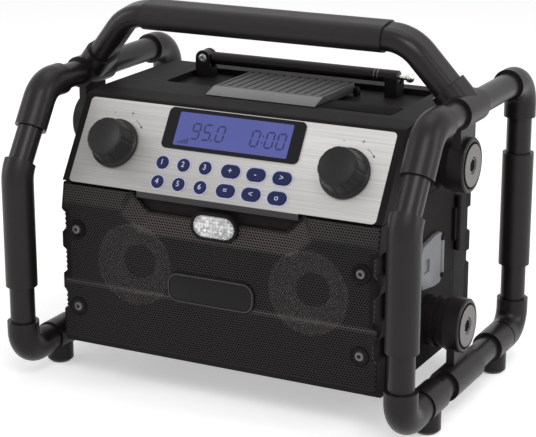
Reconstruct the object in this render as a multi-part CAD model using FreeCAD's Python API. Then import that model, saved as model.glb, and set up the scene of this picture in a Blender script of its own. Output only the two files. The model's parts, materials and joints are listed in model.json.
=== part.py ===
import FreeCAD, Part
import math
import os

from FreeCAD import Vector

# Jobsite radio: a sprung radio body inside a cage of plastic-jointed tubes.
# Millimetres, +Z up, front towards -Y. The pieces are drawn about the middle of the feet
# and written about the middle of the cage, on the floor.

# Tube cage
cage_half_width = 186.5
front_post_y = -138.0
rear_post_y = 127.5
lower_rail_z = 28.0
upper_rail_z = 268.0
post_bend_z = 197.0
post_slant_deg = 33.0
post_bend_radius = 30.0
tube_radius = 11.35
tube_wall = 1.8
socket_clearance = 0.06
socket_depth = 19.0

# Elbows, sleeves and feet on the cage
fitting_radius = 14.5
lower_elbow_reach = 29.6
lower_elbow_bend = 20.0
upper_rear_reach = 35.0
upper_rear_bend = 24.0
upper_front_post_reach = 42.5
upper_front_rail_reach = 26.0
upper_front_bend = 28.0
sleeve_radius = 14.4
sleeve_bottom_z = 91.5
rear_sleeve_top_z = 199.0
front_sleeve_over_bend = 9.5
foot_y = 79.7
foot_radius = 12.2
foot_edge = 3.0
foot_collar_half = 16.4
waist_radius = 13.0

# Sprung mounts between cage and body
mount_y = -12.0
lower_mount_z = 74.9
upper_mount_z = 219.7
mount_boss_radius = 24.0
mount_boss_proud = 8.1
mount_boss_set = 6.5
mount_boss_outer_x = cage_half_width + mount_boss_proud
mount_boss_inner_x = cage_half_width - mount_boss_set
mount_boss_edge = 1.2
strap_proud = 3.5
strap_set = 4.0
strap_outer_x = cage_half_width + strap_proud
strap_inner_x = cage_half_width - strap_set
strap_half_width = 17.0
lower_collar_half = 31.0
upper_collar_half = 22.0
bolt_flange_radius = 20.5
bolt_flange_recess = 1.2
bolt_flange_thickness = 2.2
bolt_shank_radius = 6.0
bolt_socket_radius = 7.0
bolt_socket_depth = 1.6
damper_radius = 22.5
damper_groove_depth = 2.2
damper_groove_width = 4.4
damper_grooves = 2
seat_gap = 0.1

# Carry handle
handle_z = 326.0
handle_y = -21.0
handle_leg_deg = 50.0
handle_bend_radius = 38.0
handle_thick = 21.0
handle_wide = 34.0
handle_wall = 2.4
handle_start = 14.0
handle_foot_gap = 0.2
handle_socket_end = 24.0
handle_socket_wall = 3.0
grip_end_gap = 1.5
grip_wall = 1.6

# Radio body
body_half_width = 156.0
body_bottom_z = 34.0
body_top_z = 260.5
body_front_y = -98.0
body_split_y = -44.0
body_rear_y = 102.0
body_rear_inset = 5.5
body_rear_half_width = body_half_width - body_rear_inset
side_break_y = 52.0
rear_edge_drop = 14.0
body_wall = 3.2
split_gap = 0.2
corner_radius = 9.0
bumper_proud = 6.0
bumper_run = 26.0
bumper_side = 1.5
bumper_bevel = 8.0
bumper_width = 46.0
boss_radius = 11.0
boss_length = 14.0
boss_set = 2.0

# Control panel, drawn flat and then tilted back
panel_bottom_y = -112.2
panel_bottom_z = 187.6
panel_tilt_deg = 32.4
panel_length = 80.9
panel_inset = 6.5
panel_half_width = body_half_width - panel_inset
panel_thickness = 2.0
panel_corner = 4.0
panel_gap = 0.2
panel_lip_half = 79.0
panel_lip_height = 6.0
bezel_rise = 3.0
bezel_run = 4.0
bezel_crest = 0.6
panel_seat_clear = 12.0
panel_seat_play = 0.05
panel_ledge = 3.0
panel_ledge_v = 2.4
panel_room_depth = 22.0
nose_drop = 3.0
nose_play = 0.2

# Display
window_half_width = 67.0
window_low = 42.0
window_high = 80.0
window_corner = 5.0
window_proud = 1.0
window_lip = 2.0
window_seat = 0.05
lcd_half_width = 60.0
lcd_low = 46.0
lcd_high = 77.0
board_depth = 12.4
board_thickness = 1.6
board_inset = 14.5
board_low = 3.0
board_high = 77.0

# Buttons
button_columns = (-60.5, -39.5, -18.0, 6.9, 31.6, 56.4)
button_rows = (28.3, 10.5)
round_columns = 3
round_button_radius = 5.65
oval_button_half = 8.75
oval_button_radius = 5.75
button_gap = 0.35
button_proud = 2.0
button_edge = 0.6
button_flange = 1.0
button_flange_thickness = 1.0

# Knobs
knob_inset = 37.0
knob_x = panel_half_width - knob_inset
knob_v = 39.6
knob_skirt_radius = 22.5
knob_skirt_height = 2.6
knob_face_radius = 16.9
knob_shoulder_radius = 20.4
knob_height = 22.0
knob_lift = 1.2
knob_travel = 0.8
knob_notches = 12
knob_notch_radius = 1.5
knob_shoulder_rise = 2.0
knob_face_step = 0.8
knob_face_drop = 1.2
knob_notch_foot = 0.6
knob_notch_top = 0.9
shaft_radius = 3.0
shaft_fit = 0.05
shaft_engagement = 14.0
bush_radius = 5.0
bush_length = 3.0
bush_proud = 0.2
encoder_gap = 0.3
shaft_seat = 3.0
encoder_half = 8.0

# Front grille
field_y = -116.5
brow_z = 163.5
brow_dip_z = 148.0
notch_z = 169.0
notch_y = -110.0
brow_outer_x = 95.0
brow_inner_x = 76.0
notch_outer_x = 84.7
notch_inner_x = 68.0
notch_shoulder_z = 186.0
grille_wall = 2.0
grille_top_drop = 1.4
grille_side_wall = 7.0
grille_inset = 1.0
grille_half_width = body_half_width - grille_inset
grille_lip_radius = 10.0
grille_lip_facet = 3.0
grille_skirt = 5.0
brow_overrun = 3.5
opening_columns = 12
opening_rows = 8
opening_low = 46.0
opening_high = 144.0
opening_bar = 6.0
opening_margin = 12.0
badge_half_width = 43.0
badge_low = 92.0
badge_high = 120.0
pocket_depth = 4.0
pocket_slope = 3.0
grille_pockets = ((68.0, 88.0), (102.0, 127.0), (141.0, 162.0))
bumper_bands = ((52.0, 95.0), (108.0, 126.0), (150.0, 163.0), (178.0, 222.0))

# Speakers
speaker_inset = 69.0
speaker_x = grille_half_width - speaker_inset
speaker_z = 117.0
speaker_hole_radius = 37.0
speaker_flange_radius = 42.0
speaker_flange = 2.6
speaker_depth = 26.0
magnet_radius = 24.0
magnet_depth = 14.0
basket_radius = 21.0
basket_wall = 1.6
cone_radius = 35.0
cone_throat_radius = 14.0
cone_depth = 15.0
cone_wall = 0.9
speaker_seat = 0.1
basket_step = 2.5
basket_flare = 4.0
basket_lip = 0.5
cone_edge = 0.6
cone_roll = 1.0
cone_roll_width = 5.0
cap_rise = 5.0
cap_edge = 3.0
cap_set = 2.0

# Work lamp
lamp_z = 165.5
lamp_half_width = 20.0
lamp_half_height = 9.8
lamp_surround = 2.6
lamp_front_y = -117.5
lamp_back_y = -109.0
lamp_gap = 0.2
lamp_lens_round = 2.0
lamp_ring_set = 1.5

# Top deck, antenna and lid
deck_left_inset = 42.0
deck_right_inset = 30.0
deck_left = deck_left_inset - body_half_width
deck_right = body_half_width - deck_right_inset
deck_front = -1.0
deck_back = 72.0
deck_depth = 5.5
deck_corner = 6.0
lid_left = -51.0
lid_right = 57.0
lid_front = -36.0
lid_ramp_back = -21.0
lid_top_z = 266.5
lid_pivot_y = 46.5
lid_pivot_z = 260.0
lid_barrel_radius = 3.2
lid_pin_radius = 2.0
lid_pin_length = 4.0
lid_clearance = 0.3
lid_ribs = 13
lid_groove = 2.6
lid_groove_depth = 1.0
lid_skirt_run = 1.0
lid_skirt_height = 3.0
lid_rib_start = 4.0
lid_nose = 1.0
antenna_inset = 10.0
antenna_end_inset = 31.0
antenna_x = deck_left + antenna_inset
antenna_y = 60.0
antenna_z = 273.0
antenna_radius = 5.9
antenna_knuckle_radius = 7.6
antenna_knuckle_half = 4.0
antenna_ear = 3.0
antenna_pin_radius = 2.2
antenna_pin_fit = 0.05
antenna_end_x = deck_right - antenna_end_inset
antenna_bore = 2.35
antenna_tip_radius = 2.3
antenna_ball_radius = 4.2
antenna_tip_reach = 14.5
antenna_inner_length = 110.0
antenna_mouth_round = 1.2
antenna_neck_half = 4.0
antenna_neck_lap = 2.0
antenna_neck_gap = 1.2
antenna_knuckle_play = 0.4
antenna_ear_foot = 1.5
antenna_foot_edge = 1.0
antenna_foot_corner = 2.0
antenna_bore_end = 0.3
antenna_ear_gap = 0.3
saddle_inset = 11.0
saddle_x = antenna_end_x - saddle_inset
saddle_length = 12.0
saddle_wall = 2.6
saddle_play = 0.3
deck_lap = 0.5

# Battery bay, door and latch on the right side
bay_front = -35.0
bay_back = 43.0
bay_low = 112.0
bay_high = 184.0
bay_depth = 122.0
bay_wall = 2.4
door_front = -42.0
door_back = 48.0
door_low = 105.0
door_high = 190.0
door_thickness = 3.0
door_gap = 0.5
door_seat_gap = 0.3
door_frame_depth = 8.0
door_frame_set = 0.1
door_frame_front = 1.5
door_frame_back = 5.0
door_frame_rim = 4.0
door_arm_run = 4.0
door_arm_root = 1.0
door_pivot_proud = 3.0
door_pivot_x = body_half_width + door_pivot_proud
door_pivot_y = 51.2
door_barrel_radius = 2.6
door_pin_radius = 1.3
door_pin_fit = 0.05
door_barrel_low = 122.0
door_barrel_high = 173.0
door_knuckle = 10.0
latch_low = 104.6
latch_high = 151.0
latch_front = -46.0
latch_pivot_y = 10.5
latch_pivot_proud = 3.6
latch_pivot_x = body_half_width + latch_pivot_proud
latch_thickness = 4.0
latch_barrel_radius = 2.6
latch_pin_radius = 1.2
latch_gap = 0.4
latch_bevel = 4.0
latch_tongue = 9.0
latch_tongue_inset = 12.0
latch_ramp = 40.0
latch_grip_start = 16.0
latch_grip_half = 6.0
battery_gap = 0.3
battery_end_gap = 2.0
battery_corner = 4.0

os.makedirs("parts", exist_ok=True)


cage_middle_y = (front_post_y + rear_post_y) / 2


def write(name, shape):
    shape.translated(Vector(0, -cage_middle_y, 0)).exportStep("parts/" + name + ".step")


def fuse(shapes):
    joined = shapes[0]
    for shape in shapes[1:]:
        joined = joined.fuse(shape)
    return joined.removeSplitter()


def box(x0, x1, y0, y1, z0, z1):
    return Part.makeBox(x1 - x0, y1 - y0, z1 - z0, Vector(x0, y0, z0))


def rod(start, direction, radius, length):
    return Part.makeCylinder(radius, length, start, direction)


def polygon(points):
    return Part.Face(Part.makePolygon(points + [points[0]]))


def side_prism(outline, x0, x1):
    """A (y, z) outline drawn out along X."""
    face = polygon([Vector(x0, y, z) for y, z in outline])
    return face.extrude(Vector(x1 - x0, 0, 0))


def front_prism(outline, y0, y1):
    """An (x, z) outline drawn out along Y."""
    face = polygon([Vector(x, y0, z) for x, z in outline])
    return face.extrude(Vector(0, y1 - y0, 0))


def plan_prism(outline, z0, z1):
    """An (x, y) outline drawn out along Z."""
    face = polygon([Vector(x, y, z0) for x, y in outline])
    return face.extrude(Vector(0, 0, z1 - z0))


def edges_along(shape, direction, test):
    """Straight edges parallel to a direction whose middle passes a test."""
    found = []
    for edge in shape.Edges:
        if edge.Curve.TypeId != "Part::GeomLine":
            continue
        if abs(abs(edge.Curve.Direction.dot(direction)) - 1) > 1e-6:
            continue
        if test(edge.CenterOfMass):
            found.append(edge)
    return found


def rounded_box(x0, x1, y0, y1, z0, z1, radius, direction=Vector(0, 0, 1)):
    shape = box(x0, x1, y0, y1, z0, z1)
    return shape.makeFillet(radius, edges_along(shape, direction, lambda point: True))


def bent_path(points, radii):
    """Straight runs through the points, joined by tangent arcs at the inner ones."""
    edges = []
    last = points[0]
    for before, corner, after, radius in zip(points, points[1:], points[2:], radii):
        into = (corner - before).normalize()
        out = (after - corner).normalize()
        turn = into.getAngle(out)
        reach = radius * math.tan(turn / 2)
        start = corner - into * reach
        end = corner + out * reach
        inward = (out - into).normalize()
        middle = corner + inward * (radius / math.cos(turn / 2) - radius)
        edges.append(Part.LineSegment(last, start).toShape())
        edges.append(Part.Arc(start, middle, end).toShape())
        last = end
    edges.append(Part.LineSegment(last, points[-1]).toShape())
    return Part.Wire(edges)


def sweep_round(path, radius):
    """Round bar along a path: a cylinder for each run, a torus piece for each bend."""
    pieces = []
    for edge in path.OrderedEdges:
        start = edge.firstVertex(True).Point
        end = edge.lastVertex(True).Point
        if edge.Curve.TypeId == "Part::GeomLine":
            pieces.append(rod(start, end - start, radius, (end - start).Length))
            continue
        centre = edge.Curve.Center
        axis = (start - centre).cross(end - centre).normalize()
        along = axis.cross(start - centre)
        face = Part.Face(Part.Wire([Part.Circle(start, along, radius).toShape()]))
        turn = math.degrees((start - centre).getAngle(end - centre))
        pieces.append(face.revolve(centre, axis, turn))
    return fuse(pieces)


def oval_wire(centre, along, wide_axis, wide, thick):
    """A flat-sided oval: two straight sides closed by half circles."""
    thick_axis = along.cross(wide_axis).normalize()
    radius = thick / 2
    half = wide / 2 - radius
    a = centre + wide_axis * half + thick_axis * radius
    b = centre - wide_axis * half + thick_axis * radius
    c = centre - wide_axis * half - thick_axis * radius
    d = centre + wide_axis * half - thick_axis * radius
    left = centre - wide_axis * (half + radius)
    right = centre + wide_axis * (half + radius)
    return Part.Wire([
        Part.LineSegment(a, b).toShape(),
        Part.Arc(b, left, c).toShape(),
        Part.LineSegment(c, d).toShape(),
        Part.Arc(d, right, a).toShape(),
    ])


def mirrored(shape):
    return shape.mirror(Vector(0, 0, 0), Vector(1, 0, 0))


def write_pair(stem, shape):
    """A piece of the right side and its mirror image on the left."""
    write(stem + "_right", shape)
    write(stem + "_left", mirrored(shape))


# Cage points shared by the tubes and their fittings
slant = math.radians(post_slant_deg)
slant_up = Vector(0, math.sin(slant), math.cos(slant))
upper_front_y = front_post_y + (upper_rail_z - post_bend_z) * math.tan(slant)
lower_front = Vector(cage_half_width, front_post_y, lower_rail_z)
lower_rear = Vector(cage_half_width, rear_post_y, lower_rail_z)
upper_front = Vector(cage_half_width, upper_front_y, upper_rail_z)
upper_rear = Vector(cage_half_width, rear_post_y, upper_rail_z)
post_bend = Vector(cage_half_width, front_post_y, post_bend_z)
up = Vector(0, 0, 1)
back = Vector(0, 1, 0)
right = Vector(1, 0, 0)


def tube_end(reach):
    """How far from a corner a tube stops inside an elbow of that reach."""
    return reach - socket_depth + 1.0


def tube(path):
    return sweep_round(path, tube_radius).cut(sweep_round(path, tube_radius - tube_wall))


def straight(start, end):
    return Part.Wire([Part.LineSegment(start, end).toShape()])


def make_cage_tubes():
    front = bent_path(
        [
            lower_front + up * tube_end(lower_elbow_reach),
            post_bend,
            upper_front - slant_up * tube_end(upper_front_post_reach),
        ],
        [post_bend_radius],
    )
    write_pair("front_post", tube(front))
    rear = straight(
        lower_rear + up * tube_end(lower_elbow_reach),
        upper_rear - up * tube_end(upper_rear_reach),
    )
    write_pair("rear_post", tube(rear))
    lower = straight(
        lower_front + back * tube_end(lower_elbow_reach),
        lower_rear - back * tube_end(lower_elbow_reach),
    )
    write_pair("bottom_rail", tube(lower))
    upper = straight(
        upper_front + back * tube_end(upper_front_rail_reach),
        upper_rear - back * tube_end(upper_rear_reach),
    )
    write_pair("top_rail", tube(upper))


def elbow(corner, first, first_reach, second, second_reach, bend):
    """A bent socket fitting whose two arms leave the corner along two directions."""
    path = bent_path(
        [corner + first * first_reach, corner, corner + second * second_reach],
        [bend],
    )
    body = sweep_round(path, fitting_radius)
    for direction, reach in ((first, first_reach), (second, second_reach)):
        mouth = corner + direction * reach
        bore = rod(mouth, direction * -1, tube_radius + socket_clearance, socket_depth)
        body = body.cut(bore)
    return body


def lower_corner(corner, inward):
    """Elbow, short waist and foot collar moulded in one, round the rail's end."""
    body = elbow(corner, up, lower_elbow_reach, inward, lower_elbow_reach, lower_elbow_bend)
    foot_distance = abs(abs(corner.y) - foot_y)
    mouth = foot_distance + foot_collar_half
    waist_start = corner + inward * (lower_elbow_reach - 1.0)
    waist = rod(waist_start, inward, waist_radius, mouth - lower_elbow_reach)
    collar_start = corner + inward * (foot_distance - foot_collar_half)
    collar = rod(collar_start, inward, fitting_radius, 2 * foot_collar_half)
    foot_base = corner + inward * foot_distance - up * lower_rail_z
    leg = rod(foot_base, up, foot_radius, lower_rail_z)
    rim = [edge for edge in leg.Edges if edge.CenterOfMass.z < 0.1 and edge.Closed]
    leg = leg.makeChamfer(foot_edge, rim[:1])
    body = fuse([body, waist, collar, leg])
    bore_start = corner + inward * (lower_elbow_reach - socket_depth)
    bore = rod(
        bore_start, inward, tube_radius + socket_clearance, mouth - lower_elbow_reach + socket_depth + 1
    )
    return body.cut(bore)


def make_fittings():
    write_pair("lower_front_elbow", lower_corner(lower_front, back))
    write_pair("lower_rear_elbow", lower_corner(lower_rear, back * -1))
    write_pair(
        "upper_front_elbow",
        elbow(
            upper_front, slant_up * -1, upper_front_post_reach,
            back, upper_front_rail_reach, upper_front_bend,
        ),
    )
    write_pair(
        "upper_rear_elbow",
        elbow(
            upper_rear, up * -1, upper_rear_reach, back * -1, upper_rear_reach, upper_rear_bend
        ),
    )


def make_sleeves():
    bore = tube_radius + socket_clearance
    low = Vector(cage_half_width, front_post_y, sleeve_bottom_z)
    front_path = bent_path(
        [low, post_bend, post_bend + slant_up * front_sleeve_over_bend], [post_bend_radius]
    )
    front = sweep_round(front_path, sleeve_radius).cut(sweep_round(front_path, bore))
    rear_start = Vector(cage_half_width, rear_post_y, sleeve_bottom_z)
    length = rear_sleeve_top_z - sleeve_bottom_z
    rear = rod(rear_start, up, sleeve_radius, length).cut(rod(rear_start, up, bore, length))
    write("post_sleeves", Part.Compound([front, mirrored(front), rear, mirrored(rear)]))


def mount_centre(z, x):
    return Vector(x, mount_y, z)


def mount_arm(rail_z, mount_z, collar_half):
    """Collar round a rail, flat strap and round boss that holds one rubber mount."""
    collar_start = Vector(cage_half_width, mount_y - collar_half, rail_z)
    collar = rod(collar_start, back, fitting_radius, 2 * collar_half)
    low = min(rail_z, mount_z)
    high = max(rail_z, mount_z)
    strap = box(
        strap_inner_x, strap_outer_x,
        mount_y - strap_half_width, mount_y + strap_half_width, low, high,
    )
    disc_start = mount_centre(mount_z, mount_boss_inner_x)
    disc = rod(disc_start, right, mount_boss_radius, mount_boss_outer_x - mount_boss_inner_x)
    rim = [edge for edge in disc.Edges if edge.Closed and edge.CenterOfMass.x > strap_outer_x]
    disc = disc.makeChamfer(mount_boss_edge, rim[:1])
    return fuse([collar, strap, disc])


def cut_mount_bores(body, rail_z, mount_z, collar_half):
    rail_bore = rod(
        Vector(cage_half_width, mount_y - collar_half - 1, rail_z),
        back, tube_radius + socket_clearance, 2 * collar_half + 2,
    )
    recess = rod(
        mount_centre(mount_z, mount_boss_outer_x - bolt_flange_recess),
        right, bolt_flange_radius + seat_gap, bolt_flange_recess + 1,
    )
    hole = rod(
        mount_centre(mount_z, mount_boss_inner_x - 1), right, bolt_shank_radius + seat_gap,
        2 * (mount_boss_outer_x - mount_boss_inner_x),
    )
    return body.cut(rail_bore).cut(recess).cut(hole)


def handle_frame():
    """Corner points of the handle's centre line and the tilt of its plane."""
    rise = handle_z - upper_rail_z
    lean = handle_y - mount_y
    height = math.hypot(rise, lean)
    inset = height / math.tan(math.radians(handle_leg_deg))
    foot = Vector(cage_half_width, mount_y, upper_rail_z)
    corner = Vector(cage_half_width - inset, handle_y, handle_z)
    wide_axis = Vector(0, rise / height, -lean / height)
    return foot, corner, wide_axis


def oval_bar(start, end, wide_axis, wide, thick):
    along = (end - start).normalize()
    face = Part.Face(oval_wire(start, along, wide_axis, wide, thick))
    return face.extrude(end - start)


def make_brackets():
    lower = mount_arm(lower_rail_z, lower_mount_z, lower_collar_half)
    write_pair(
        "lower_bracket", cut_mount_bores(lower, lower_rail_z, lower_mount_z, lower_collar_half)
    )
    foot, corner, wide_axis = handle_frame()
    leg = (corner - foot).normalize()
    upper = mount_arm(upper_rail_z, upper_mount_z, upper_collar_half)
    socket_wide = handle_wide + 2 * handle_socket_wall
    socket_thick = handle_thick + 2 * handle_socket_wall
    socket = oval_bar(foot, foot + leg * handle_socket_end, wide_axis, socket_wide, socket_thick)
    upper = cut_mount_bores(
        fuse([upper, socket]), upper_rail_z, upper_mount_z, upper_collar_half
    )
    hole = oval_bar(
        foot + leg * (handle_start - handle_foot_gap), foot + leg * (handle_socket_end + 1), wide_axis,
        handle_wide + 2 * socket_clearance, handle_thick + 2 * socket_clearance,
    )
    write_pair("upper_bracket", upper.cut(hole))


def mirror_point(point):
    return Vector(-point.x, point.y, point.z)


def handle_solid(points, wide_axis, wide, thick):
    path = bent_path(points, [handle_bend_radius, handle_bend_radius])
    along = (points[1] - points[0]).normalize()
    profile = oval_wire(points[0], along, wide_axis, wide, thick)
    return path.makePipeShell([profile], True, False)


def make_carry_handle():
    foot, corner, wide_axis = handle_frame()
    leg = (corner - foot).normalize()
    start = foot + leg * handle_start
    points = [start, corner, mirror_point(corner), mirror_point(start)]
    outer = handle_solid(points, wide_axis, handle_wide, handle_thick)
    inner = handle_solid(
        points, wide_axis, handle_wide - 2 * handle_wall, handle_thick - 2 * handle_wall
    )
    write("handle_tube", outer.cut(inner))
    bend_run = handle_bend_radius * math.tan(math.radians(handle_leg_deg / 2))
    grip_half_length = corner.x - bend_run - grip_end_gap
    left_end = Vector(-grip_half_length, handle_y, handle_z)
    right_end = Vector(grip_half_length, handle_y, handle_z)
    bore_wide = handle_wide + 2 * socket_clearance
    bore_thick = handle_thick + 2 * socket_clearance
    grip = oval_bar(
        left_end, right_end, wide_axis, handle_wide + 2 * grip_wall, handle_thick + 2 * grip_wall
    )
    grip = grip.cut(oval_bar(left_end, right_end, wide_axis, bore_wide, bore_thick))
    write("handle_grip", grip)


def on_panel(shape):
    """Moves a piece drawn flat, panel's lower edge at y = 0, face at z = 0, to the panel."""
    placed = shape.copy()
    turn = FreeCAD.Rotation(right, 90.0 - panel_tilt_deg)
    place = FreeCAD.Placement(Vector(0, panel_bottom_y, panel_bottom_z), turn)
    placed.transformShape(place.toMatrix(), True)
    return placed


def panel_point(x, v, height):
    tilt = math.radians(panel_tilt_deg)
    y = panel_bottom_y + v * math.sin(tilt) - height * math.cos(tilt)
    z = panel_bottom_z + v * math.cos(tilt) + height * math.sin(tilt)
    return Vector(x, y, z)


def stadium(x, v, half_width, radius, low, high):
    """An upright prism with a stadium outline, drawn on the flat panel."""
    if half_width <= radius:
        return rod(Vector(x, v, low), up, radius, high - low)
    middle = box(x - half_width + radius, x + half_width - radius, v - radius, v + radius, low, high)
    left = rod(Vector(x - half_width + radius, v, low), up, radius, high - low)
    end = rod(Vector(x + half_width - radius, v, low), up, radius, high - low)
    return fuse([middle, left, end])


def buttons():
    """Name, place and half sizes of each button, numbered along both rows."""
    for row, v in enumerate(button_rows):
        for column, x in enumerate(button_columns):
            number = row * len(button_columns) + column + 1
            if column < round_columns:
                yield "button_%02d" % number, x, v, round_button_radius, round_button_radius
            else:
                yield "button_%02d" % number, x, v, oval_button_half, oval_button_radius


def make_panel():
    plate = rounded_box(
        -panel_half_width, panel_half_width, 0, panel_length, -panel_thickness, 0, panel_corner
    )
    opening = rounded_box(
        -window_half_width + window_lip, window_half_width - window_lip,
        window_low + window_lip, window_high - window_lip,
        -panel_thickness - 1, 1, window_corner - window_lip,
    )
    plate = plate.cut(opening)
    for _, x, v, half_width, radius in buttons():
        plate = plate.cut(
            stadium(x, v, half_width + button_gap, radius + button_gap, -panel_thickness - 1, 1)
        )
    for x in (-knob_x, knob_x):
        hole = rod(
            Vector(x, knob_v, -panel_thickness - 1), up, bush_radius + seat_gap, panel_thickness + 2
        )
        plate = plate.cut(hole)
    lip = box(
        -panel_lip_half, panel_lip_half, panel_bottom_y, panel_bottom_y + panel_thickness,
        panel_bottom_z - panel_lip_height, panel_bottom_z,
    )
    write("control_panel", fuse([on_panel(plate), lip]))


def make_display():
    window = rounded_box(
        -window_half_width, window_half_width, window_low, window_high, window_seat, window_proud,
        window_corner,
    )
    plug = rounded_box(
        -window_half_width + window_lip + seat_gap, window_half_width - window_lip - seat_gap,
        window_low + window_lip + seat_gap, window_high - window_lip - seat_gap,
        -panel_thickness, window_seat, window_corner - window_lip,
    )
    write("display_window", on_panel(fuse([window, plug])))
    module = box(
        -lcd_half_width, lcd_half_width, lcd_low, lcd_high,
        -board_depth, -panel_thickness - seat_gap,
    )
    write("lcd_module", on_panel(module))


def make_buttons():
    base = -panel_thickness - seat_gap
    for name, x, v, half_width, radius in buttons():
        cap = stadium(x, v, half_width, radius, base, button_proud)
        top = [edge for edge in cap.Edges if abs(edge.BoundBox.ZMin - button_proud) < 0.01]
        cap = cap.makeChamfer(button_edge, top)
        flange = stadium(
            x, v, half_width + button_flange, radius + button_flange,
            base - button_flange_thickness, base,
        )
        write(name, on_panel(fuse([cap, flange])))


def make_knobs():
    profile = [
        (0, knob_lift), (knob_skirt_radius, knob_lift),
        (knob_skirt_radius, knob_lift + knob_skirt_height),
        (knob_shoulder_radius, knob_lift + knob_skirt_height + knob_shoulder_rise),
        (knob_face_radius + knob_face_step, knob_height - knob_face_drop),
        (knob_face_radius, knob_height),
        (0, knob_height),
    ]
    body = polygon([Vector(r, 0, z) for r, z in profile]).revolve(Vector(0, 0, 0), up, 360)
    bore = rod(Vector(0, 0, 0), up, shaft_radius + shaft_fit, shaft_engagement + knob_travel + 1)
    body = body.cut(bore)
    for step in range(knob_notches):
        angle = 2 * math.pi * step / knob_notches
        outward = Vector(math.cos(angle), math.sin(angle), 0)
        foot = outward * (knob_shoulder_radius + knob_notch_foot)
        foot.z = knob_lift + knob_skirt_height + knob_shoulder_rise
        top = outward * (knob_face_radius + knob_notch_top)
        top.z = knob_height + 1
        body = body.cut(rod(foot, top - foot, knob_notch_radius, (top - foot).Length))
    encoders = []
    for name, x in (("tuning", -knob_x), ("volume", knob_x)):
        place = Vector(x, knob_v, 0)
        write(name + "_knob", on_panel(body.translated(place)))
        shaft_base = -board_depth + shaft_seat
        shaft = rod(place + up * shaft_base, up, shaft_radius, shaft_engagement - shaft_base)
        write(name + "_shaft", on_panel(shaft))
        block = box(
            x - encoder_half, x + encoder_half, knob_v - encoder_half, knob_v + encoder_half,
            -board_depth, -panel_thickness - encoder_gap,
        )
        bush = rod(place - up * bush_length, up, bush_radius, bush_length + bush_proud)
        hole = rod(place + up * shaft_base, up, shaft_radius + shaft_fit, 2 * board_depth)
        encoders.append(on_panel(fuse([block, bush]).cut(hole)))
    write("encoders", Part.Compound(encoders))
    board_half = panel_half_width - board_inset
    board = box(
        -board_half, board_half, board_low, board_high, -board_depth - board_thickness, -board_depth
    )
    write("circuit_board", on_panel(board))


def brow_wedge(shift_y, shift_z):
    """The sloping dip in the middle of the grille's brow, as a tapering cut."""
    rise = brow_dip_z - notch_z
    run = field_y - notch_y
    ahead = field_y - brow_overrun
    share = (ahead - notch_y) / run
    front_z = notch_z + rise * share
    front_outer = notch_outer_x + (brow_outer_x - notch_outer_x) * share
    front_inner = notch_inner_x + (brow_inner_x - notch_inner_x) * share
    front_shoulder = notch_shoulder_z + (brow_z - notch_shoulder_z) * share
    above = panel_bottom_z + grille_lip_radius
    front = [
        (-front_outer, above), (-front_outer, front_shoulder), (-front_inner, front_z),
        (front_inner, front_z), (front_outer, front_shoulder), (front_outer, above),
    ]
    rear = [
        (-notch_outer_x, above), (-notch_outer_x, notch_shoulder_z), (-notch_inner_x, notch_z),
        (notch_inner_x, notch_z), (notch_outer_x, notch_shoulder_z), (notch_outer_x, above),
    ]
    wires = []
    for outline, y in ((front, ahead), (rear, notch_y)):
        points = [Vector(x, y + shift_y, z + shift_z) for x, z in outline]
        wires.append(Part.makePolygon(points + [points[0]]))
    return Part.makeLoft(wires, True, True)


def grille_form(wall, half_width):
    """Outer form of the grille moved inwards by a wall thickness."""
    low = body_bottom_z + wall
    top = panel_bottom_z - grille_top_drop + grille_skirt * wall
    behind = body_front_y + grille_skirt * wall
    outline = [
        (behind, low), (field_y + grille_lip_radius, low),
        (field_y + grille_lip_facet + 0.7 * wall, low + grille_lip_facet),
        (field_y + wall, low + grille_lip_radius),
        (field_y + wall, brow_z), (panel_bottom_y + wall, top), (behind, top),
    ]
    form = side_prism(outline, -half_width, half_width)
    return form.cut(brow_wedge(wall, -0.3 * wall))


def corner_pockets(half_width, depth, y0, y1, bands):
    """Notches with sloping ends in both vertical corners, between two depths in Y."""
    cuts = []
    for low, high in bands:
        outline = [
            (half_width - depth, low + pocket_slope), (half_width + 1, low - 1),
            (half_width + 1, high + 1), (half_width - depth, high - pocket_slope),
        ]
        cut = front_prism(outline, y0, y1)
        cuts.extend([cut, mirrored(cut)])
    return cuts


def grille_openings(inner_half):
    """A grid of openings in the flat field, clear of the badge in its middle."""
    left = opening_margin - inner_half
    pitch_x = -2 * left / opening_columns
    pitch_z = (opening_high - opening_low) / opening_rows
    cuts = []
    for column in range(opening_columns):
        x = left + pitch_x * (column + 0.5)
        for row in range(opening_rows):
            z = opening_low + pitch_z * (row + 0.5)
            behind_badge = abs(x) < badge_half_width and badge_low < z < badge_high
            if not behind_badge:
                cuts.append(box(
                    x - (pitch_x - opening_bar) / 2, x + (pitch_x - opening_bar) / 2,
                    field_y - 1, field_y + grille_wall + 1,
                    z - (pitch_z - opening_bar) / 2, z + (pitch_z - opening_bar) / 2,
                ))
    return cuts


def make_grille():
    ahead = field_y - grille_skirt
    grille = grille_form(0.0, grille_half_width)
    inner_half = grille_half_width - grille_side_wall
    grille = grille.cut(grille_form(grille_wall, inner_half))
    notch = front_prism(
        [
            (-notch_outer_x, panel_bottom_z + 1), (-notch_outer_x, notch_shoulder_z),
            (-notch_inner_x, notch_z), (notch_inner_x, notch_z),
            (notch_outer_x, notch_shoulder_z), (notch_outer_x, panel_bottom_z + 1),
        ],
        ahead, body_front_y + 1,
    )
    grille = grille.cut(notch)
    grille = grille.cut(lamp_prism(lamp_surround + lamp_gap, ahead, body_front_y))
    for cut in corner_pockets(
        grille_half_width, pocket_depth, ahead, body_front_y + 1, grille_pockets
    ):
        grille = grille.cut(cut)
    write("grille", grille.cut(grille_openings(inner_half)))


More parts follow.
